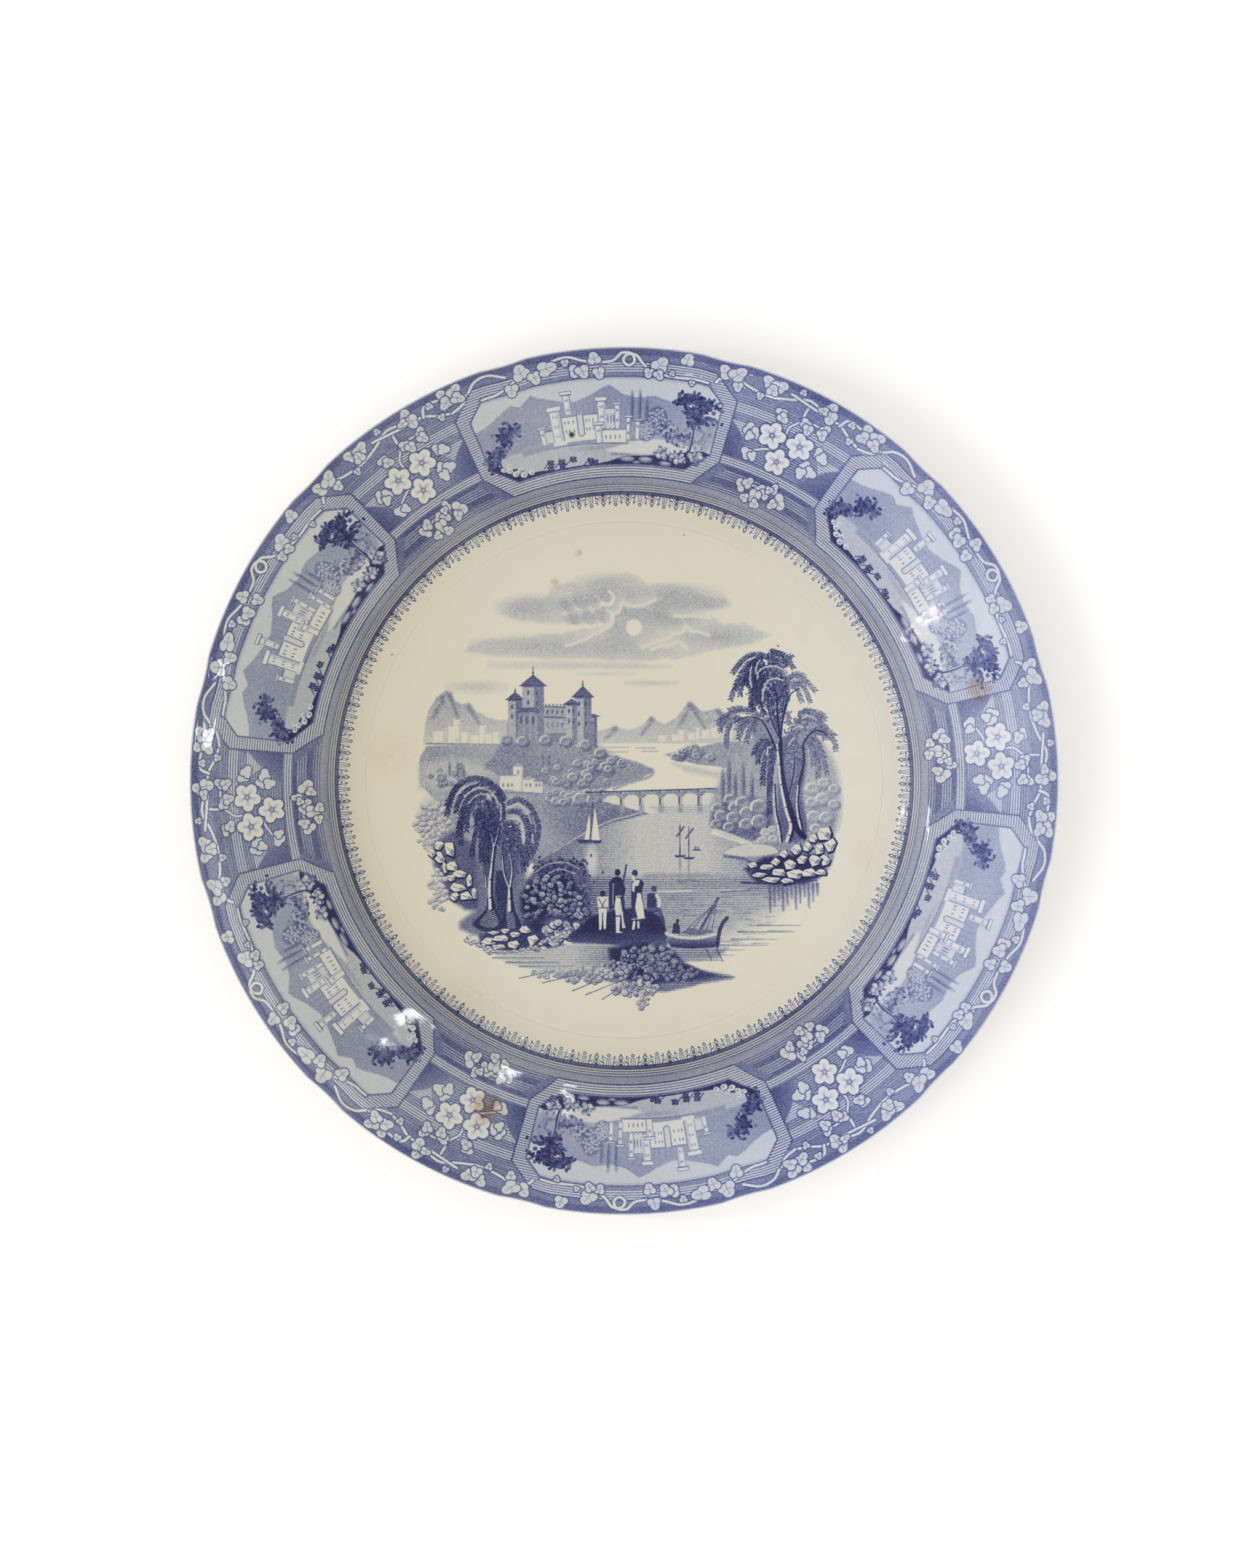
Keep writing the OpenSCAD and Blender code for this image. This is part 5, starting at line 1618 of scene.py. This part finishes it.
class Nodes:
    """Builds a material's nodes with a few short calls."""

    def __init__(self, name):
        self.material = bpy.data.materials.new(name)
        self.material.use_nodes = True
        self.tree = self.material.node_tree
        self.tree.nodes.clear()
        self.output = self.tree.nodes.new("ShaderNodeOutputMaterial")
        self.surface = self.tree.nodes.new("ShaderNodeBsdfPrincipled")
        self.tree.links.new(self.surface.outputs[0], self.output.inputs[0])
        self.place = self.tree.nodes.new("ShaderNodeTexCoord").outputs["Object"]

    def put(self, socket, value):
        """Links a socket to an input, or sets the input to a plain value."""
        if isinstance(value, bpy.types.NodeSocket):
            self.tree.links.new(value, socket)
        else:
            socket.default_value = value

    def math(self, operation, a, b=0.0, clamp=False):
        """One step of arithmetic."""
        node = self.tree.nodes.new("ShaderNodeMath")
        node.operation = operation
        node.use_clamp = clamp
        self.put(node.inputs[0], a)
        self.put(node.inputs[1], b)
        return node.outputs[0]

    def range(self, value, low, high, out_low=0.0, out_high=1.0):
        """A smooth step from one pair of values to another."""
        node = self.tree.nodes.new("ShaderNodeMapRange")
        node.interpolation_type = "SMOOTHSTEP"
        for k, v in enumerate((value, low, high, out_low, out_high)):
            self.put(node.inputs[k], v)
        return node.outputs[0]

    def noise(self, size, detail=3.0, roughness=0.5, seed=0.0):
        """Noise whose features are about as wide as size, in millimetres."""
        move = self.tree.nodes.new("ShaderNodeMapping")
        self.put(move.inputs["Vector"], self.place)
        move.inputs["Location"].default_value = (seed, seed * 0.7, seed * 0.3)
        node = self.tree.nodes.new("ShaderNodeTexNoise")
        node.inputs["Scale"].default_value = 1 / (size * MM)
        node.inputs["Detail"].default_value = detail
        node.inputs["Roughness"].default_value = roughness
        self.put(node.inputs["Vector"], move.outputs[0])
        return node.outputs["Fac"]

    def mix(self, factor, a, b, blend="MIX"):
        """Two colours mixed by a factor."""
        node = self.tree.nodes.new("ShaderNodeMix")
        node.data_type = "RGBA"
        node.blend_type = blend
        self.put(node.inputs[0], factor)
        self.put(node.inputs[6], a)
        self.put(node.inputs[7], b)
        return node.outputs[2]

    def ramp(self, value, stops):
        """A colour read from stops by a value."""
        node = self.tree.nodes.new("ShaderNodeValToRGB")
        points = node.color_ramp.elements
        while len(points) < len(stops):
            points.new(0.5)
        for point, (at, colour) in zip(points, stops):
            point.position = at
            point.color = colour
        self.put(node.inputs[0], value)
        return node.outputs[0]

    def near(self, x, y, reach, z=20.0, ragged=0.35, seed=1.0):
        """1 at a place on the plate, falling to 0 at about the reach, with a ragged edge."""
        away = self.tree.nodes.new("ShaderNodeVectorMath")
        away.operation = "DISTANCE"
        self.put(away.inputs[0], self.place)
        away.inputs[1].default_value = (x * MM, y * MM, z * MM)
        rough = self.math("MULTIPLY_ADD", self.noise(reach * 0.6, seed=seed), reach * MM * ragged * 2)
        rough.node.inputs[2].default_value = -reach * MM * ragged
        return self.range(self.math("ADD", away.outputs["Value"], rough), reach * MM, reach * 0.25 * MM)

    def radius(self):
        """How far a point lies from the plate's axis."""
        split = self.tree.nodes.new("ShaderNodeSeparateXYZ")
        self.put(split.inputs[0], self.place)
        x, y = split.outputs[0], split.outputs[1]
        return self.math("SQRT", self.math("ADD", self.math("MULTIPLY", x, x), self.math("MULTIPLY", y, y)))

    def across(self):
        """How far a point lies to the right of the plate's axis."""
        split = self.tree.nodes.new("ShaderNodeSeparateXYZ")
        self.put(split.inputs[0], self.place)
        return split.outputs[0]

    def bump(self, height, depth, below=None):
        """A bump of height times depth, in millimetres."""
        node = self.tree.nodes.new("ShaderNodeBump")
        node.inputs["Distance"].default_value = depth * MM
        node.inputs["Strength"].default_value = 1.0
        self.put(node.inputs["Height"], height)
        if below is not None:
            self.put(node.inputs["Normal"], below)
        return node.outputs[0]

    def shine(self, roughness=0.4, coat=0.0, coat_roughness=0.05, specular=0.5):
        """Sets how rough, coated and reflective the surface is."""
        self.surface.inputs["Roughness"].default_value = roughness
        self.surface.inputs["Coat Weight"].default_value = coat
        self.surface.inputs["Coat Roughness"].default_value = coat_roughness
        self.surface.inputs["Specular IOR Level"].default_value = specular


# (x, y, reach, strength): iron stains and warm patches in the glaze, in millimetres
STAINS = [
    (106.6, 27.5, 5.5, 0.9), (-41, -98, 6.5, 0.8), (-14, 68.6, 1.8, 0.5), (-21, 60, 1.6, 0.5),
    (-26, -51, 1.4, 0.8), (-70, 8, 12, 0.1), (74, -22, 8, 0.08), (-46, -66, 13, 0.1), (96, 34, 2.0, 0.6),
]
# (x, y, reach): specks of dark ash burnt into the glaze
SPECKS = [
    (-15.6, 103.7, 1.4), (52.6, -28.4, 0.4), (-70, 38, 0.35), (18, 74, 0.3), (-92, -62, 0.4),
    (101, 52, 0.35), (3.5, 129.0, 0.5),
]

# Cream of the glaze; the second cream, lighter and cooler, is a painted sheen for the right of the face
CREAM, CREAM_LIT_RIGHT = tint(206, 199, 180), tint(216, 210, 197)
# A warmer, darker cream: painted shade on the left of the face, and also the random warm patches
WARM_CREAM = tint(201, 189, 160)
# Rim colours: painted shade, darker and warmer, for the left of the rim, and painted sheen, lighter and
# bluer, for its right
RIM_SHADE_LEFT, RIM_SHEEN_RIGHT = tint(200, 197, 182), tint(214, 215, 220)
RUST = tint(206, 148, 84)
SPECK = tint(34, 30, 44)
INK_STOPS = (
    (0.0, tint(255, 255, 255)), (0.12, tint(225, 231, 246)), (0.3, tint(175, 184, 215)),
    (0.5, tint(119, 129, 181)), (0.75, tint(62, 71, 137)), (1.0, tint(14, 19, 82)),
)


def glaze_ground(n):
    """The glaze's ground colour: cream with faint random warm patches, and painted light: darker and warmer
    to the left as painted shade, lighter and cooler to the right and on the rim as painted sheen.
    """
    # painted light: the cream turns lighter and cooler towards the right (painted sheen) and darker and
    # warmer towards the left (painted shade)
    ground = n.mix(n.range(n.across(), 10 * MM, 90 * MM), CREAM, CREAM_LIT_RIGHT)
    ground = n.mix(n.range(n.across(), -20 * MM, -90 * MM, 0.0, 0.6), ground, WARM_CREAM)
    # painted shade and sheen on the rim: darker and warmer on the left, lighter and bluer on the right,
    # blended in beyond the wall
    rim = n.mix(n.range(n.across(), -90 * MM, 110 * MM), RIM_SHADE_LEFT, RIM_SHEEN_RIGHT)
    ground = n.mix(n.range(n.radius(), 84 * MM, 112 * MM, 0.0, 0.9), ground, rim)
    return n.mix(n.range(n.noise(5, 4.0, 0.6, seed=9.0), 0.3, 0.75, 0.0, 0.12), ground, WARM_CREAM)


def blemished(n, colour):
    """The colour with iron stains and specks at their places on the plate."""
    for k, (x, y, reach, strength) in enumerate(STAINS):
        z = FLOOR_Z if math.hypot(x, y) < 84 else 20.0
        place = n.near(x, y, reach, z, seed=k + 2.0)
        cloudy = n.noise(2.2, 4.0, 0.65, seed=k + 5.0)
        patchy = n.math("MULTIPLY", place, n.range(cloudy, 0.35, 0.65, strength * 0.35, strength))
        colour = n.mix(patchy, colour, RUST, "MULTIPLY")
    for k, (x, y, reach) in enumerate(SPECKS):
        z = FLOOR_Z if math.hypot(x, y) < 84 else 19.6
        colour = n.mix(n.near(x, y, reach, z, ragged=0.2, seed=k + 31.0), colour, SPECK)
    return colour


def glaze_finish(n):
    """A glossy coat over the print, with the faint unevenness of dipped glaze."""
    n.shine(roughness=0.42, coat=0.65, coat_roughness=0.045, specular=0.05)
    slow = n.bump(n.noise(16, 2.0, 0.45, seed=4.0), 0.16)
    fine = n.bump(n.noise(2.4, 2.0, 0.5, seed=6.0), 0.008, below=slow)
    n.put(n.surface.inputs["Normal"], fine)
    n.put(n.surface.inputs["Coat Normal"], fine)
    n.surface.inputs["Coat IOR"].default_value = 1.5


def printed_glaze():
    """Cobalt transfer ink under a clear glaze, with a painted sheen that lightens the ink towards the right.
    """
    n = Nodes("printed_glaze")
    source = n.tree.nodes.new("ShaderNodeAttribute")
    source.attribute_name = "ink"
    ink = source.outputs["Fac"]
    wash = n.range(n.noise(26, 2.0, seed=12.0), 0.3, 0.7, 0.88, 1.08)
    grain = n.range(n.noise(0.42, 2.0, 0.7, seed=15.0), 0.3, 0.7, 0.8, 1.2)
    ink = n.math("MULTIPLY", n.math("MULTIPLY", ink, wash), grain)
    # painted sheen: the ink is lightened towards the right of the plate, as if washed by reflected light
    fade = n.range(n.across(), 40 * MM, 122 * MM, 1.03, 0.76)
    ink = n.math("MULTIPLY", ink, fade, clamp=True)
    colour = n.mix(1.0, glaze_ground(n), n.ramp(ink, INK_STOPS), "MULTIPLY")
    n.put(n.surface.inputs["Base Color"], blemished(n, colour))
    glaze_finish(n)
    return n.material


def plain_glaze():
    """The unprinted back: cream glaze, a little blue where it pools, with pin holes and small kiln scars."""
    n = Nodes("plain_glaze")
    colour = n.mix(n.range(n.noise(55, 2.0, seed=3.0), 0.4, 0.62), CREAM, WARM_CREAM)
    foot = n.math("ABSOLUTE", n.math("SUBTRACT", n.radius(), FOOT_R * MM))
    colour = n.mix(n.range(foot, 5 * MM, 0.5 * MM, 0.0, 0.55), colour, tint(176, 190, 208))
    pits = n.range(n.noise(1.3, 1.0, 0.5, seed=21.0), 0.755, 0.79)
    colour = n.mix(pits, colour, tint(96, 78, 62))
    for k in range(3):
        turn = math.radians(40 + 120 * k)
        for dx, dy in ((0, 0), (4, 1), (1.5, 3.8)):
            scar = n.near(104 * math.cos(turn) + dx, 104 * math.sin(turn) + dy, 1.0, 14.8, seed=k + dx)
            colour = n.mix(scar, colour, tint(150, 128, 100))
    n.put(n.surface.inputs["Base Color"], colour)
    glaze_finish(n)
    return n.material


def bare_clay():
    """The wiped resting face of the foot: dry, buff and grey with handling."""
    n = Nodes("bare_clay")
    colour = n.mix(n.range(n.noise(7, 5.0, 0.6, seed=2.0), 0.35, 0.65), tint(214, 200, 172),
                   tint(158, 138, 112))
    colour = n.mix(n.range(n.noise(0.9, 3.0, 0.6, seed=8.0), 0.5, 0.72, 0.0, 0.6), colour,
                   tint(112, 98, 84))
    n.put(n.surface.inputs["Base Color"], colour)
    n.put(n.surface.inputs["Roughness"], n.range(n.noise(1.6, 3.0, seed=5.0), 0.3, 0.7, 0.72, 0.95))
    n.put(n.surface.inputs["Normal"], n.bump(n.noise(0.5, 4.0, 0.65, seed=7.0), 0.05))
    return n.material


def floor_finish():
    """Matt white with a faint glow, which keeps its far end pale in low views."""
    n = Nodes("studio_floor")
    n.put(n.surface.inputs["Base Color"],
          n.mix(n.noise(300, 2.0), tint(249, 249, 249), tint(251, 251, 251)))
    n.shine(roughness=0.9, specular=0.1)
    n.surface.inputs["Emission Color"].default_value = (1, 1, 1, 1)
    n.surface.inputs["Emission Strength"].default_value = 0.1
    return n.material


# ---- Floor, lights and camera ------------------------------------------------

VIEW_W, VIEW_H = 1725, 2156
PLATE_PIXELS = 1195
PLATE_CENTRE = (858, 1075)
CAMERA_LEAN = (0.0, 0.03)
CAMERA_DISTANCE = 1.6
SENSOR = 36

FLOOR_HALF, FLOOR_CELLS = 6.0, 24
KEY_POWER, FILL_POWER = 13.0, 3.0
# Small lamps above the plate, whose reflections are the glints in the glaze
LAMP_Z = 1.28
WINDOWS, WINDOW_SIZE, WINDOW_POWER = ((0.14, 0.66), (0.25, 0.62), (0.46, 0.48)), (0.026, 0.07), 0.22
SPARKS, SPARK_SIZE, SPARK_POWER = ((-0.6, -0.36), (-0.68, 0.16)), (0.012, 0.014), 0.02
STRIP_POWER = 2.2
# The sky's strength changes evenly from where the direction's Z is SKY_FADE to straight above
SKY_FADE, SKY_SIDE, SKY_TOP = 0.55, 1.0, 0.66


def make_floor():
    """A wide, flat and pale floor."""
    line = np.linspace(-FLOOR_HALF, FLOOR_HALF, FLOOR_CELLS + 1)
    x, y = np.meshgrid(line, line)
    quads = grid_quads(FLOOR_CELLS)
    points = np.stack([x.ravel(), y.ravel(), np.zeros(x.size)], 1) / MM
    floor, _ = make_piece("studio_floor", points, quads, np.zeros((0, 3), int), [floor_finish()])


def aim(item, place, target):
    """Puts a lamp or the camera at a place, looking at the target."""
    place, target = Vector(place), Vector(target)
    back = (place - target).normalized()
    right = Vector((0, 1, 0)).cross(back).normalized()
    turn = Matrix((right, back.cross(right), back)).transposed().to_4x4()
    item.matrix_world = Matrix.Translation(place) @ turn


def softbox(name, place, size, power, colour=(1, 1, 1)):
    """A rectangular lamp that faces the plate."""
    lamp = bpy.data.lights.new(name, "AREA")
    lamp.shape = "RECTANGLE"
    lamp.size, lamp.size_y = size
    lamp.energy = power
    lamp.color = colour
    item = bpy.data.objects.new(name, lamp)
    bpy.context.scene.collection.objects.link(item)
    aim(item, place, (0, 0, 0.02))


def light_studio():
    """Soft light from the left and front, a low fill, and small bright lamps that glint in the glaze."""
    softbox("key", (-1.5, -0.9, 1.5), (1.6, 1.6), KEY_POWER)
    softbox("fill", (1.7, 0.3, 1.1), (1.2, 1.2), FILL_POWER)
    for k, (x, y) in enumerate(WINDOWS):
        softbox(f"window_{k}", (x, y, LAMP_Z), WINDOW_SIZE, WINDOW_POWER, (0.96, 0.98, 1.0))
    for k, (x, y) in enumerate(SPARKS):
        softbox(f"spark_{k}", (x, y, LAMP_Z), SPARK_SIZE, SPARK_POWER, (1.0, 0.86, 0.84))
    softbox("strip", (-1.2, 0.1, 1.25), (0.7, 0.05), STRIP_POWER, (0.84, 0.92, 1.0))


def light_sky():
    """A white sky, a little weaker straight above."""
    world = bpy.data.worlds.new("studio")
    bpy.context.scene.world = world
    world.use_nodes = True
    tree = world.node_tree
    place = tree.nodes.new("ShaderNodeTexCoord")
    split = tree.nodes.new("ShaderNodeSeparateXYZ")
    shade = tree.nodes.new("ShaderNodeMapRange")
    tree.links.new(place.outputs["Generated"], split.inputs[0])
    tree.links.new(split.outputs[2], shade.inputs[0])
    for k, value in enumerate((SKY_FADE, 1.0, SKY_SIDE, SKY_TOP)):
        shade.inputs[k + 1].default_value = value
    tree.links.new(shade.outputs[0], tree.nodes["Background"].inputs["Strength"])
    tree.nodes["Background"].inputs["Color"].default_value = (1, 1, 1, 1)


def set_camera():
    """Looks almost straight down on the plate, from a little towards the top of its view."""
    camera = bpy.data.objects.new("camera", bpy.data.cameras.new("camera"))
    bpy.context.scene.collection.objects.link(camera)
    plane_z = EDGE_Z * MM
    pixel = 2 * PLATE_R * MM / PLATE_PIXELS
    middle = ((VIEW_W / 2 - PLATE_CENTRE[0]) * pixel, (PLATE_CENTRE[1] - VIEW_H / 2) * pixel)
    target = Vector((*middle, plane_z))
    place = target + Vector((*CAMERA_LEAN, 1)) * CAMERA_DISTANCE
    distance = (place - target).length
    camera.data.sensor_fit = "VERTICAL"
    camera.data.sensor_height = SENSOR
    camera.data.lens = SENSOR * distance / (VIEW_H * pixel)
    camera.data.clip_start = 0.01
    aim(camera, place, target)
    bpy.context.scene.camera = camera
    bpy.context.scene.view_settings.view_transform = "Standard"


# ---- Assembly ----------------------------------------------------------------

DRAWING_STEP = 0.1

printed = printed_glaze()
well, rim_turns = make_well_face(draw_view(DRAWING_STEP), printed)
border = make_border_face(draw_border(DRAWING_STEP), rim_turns, printed)
body = make_body(plain_glaze(), bare_clay())
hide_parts("view_print")
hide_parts("border_print", "glaze_coat")
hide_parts("earthenware_body")
for piece in (well, border, body):
    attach(piece, "root")

make_floor()
light_studio()
light_sky()
set_camera()
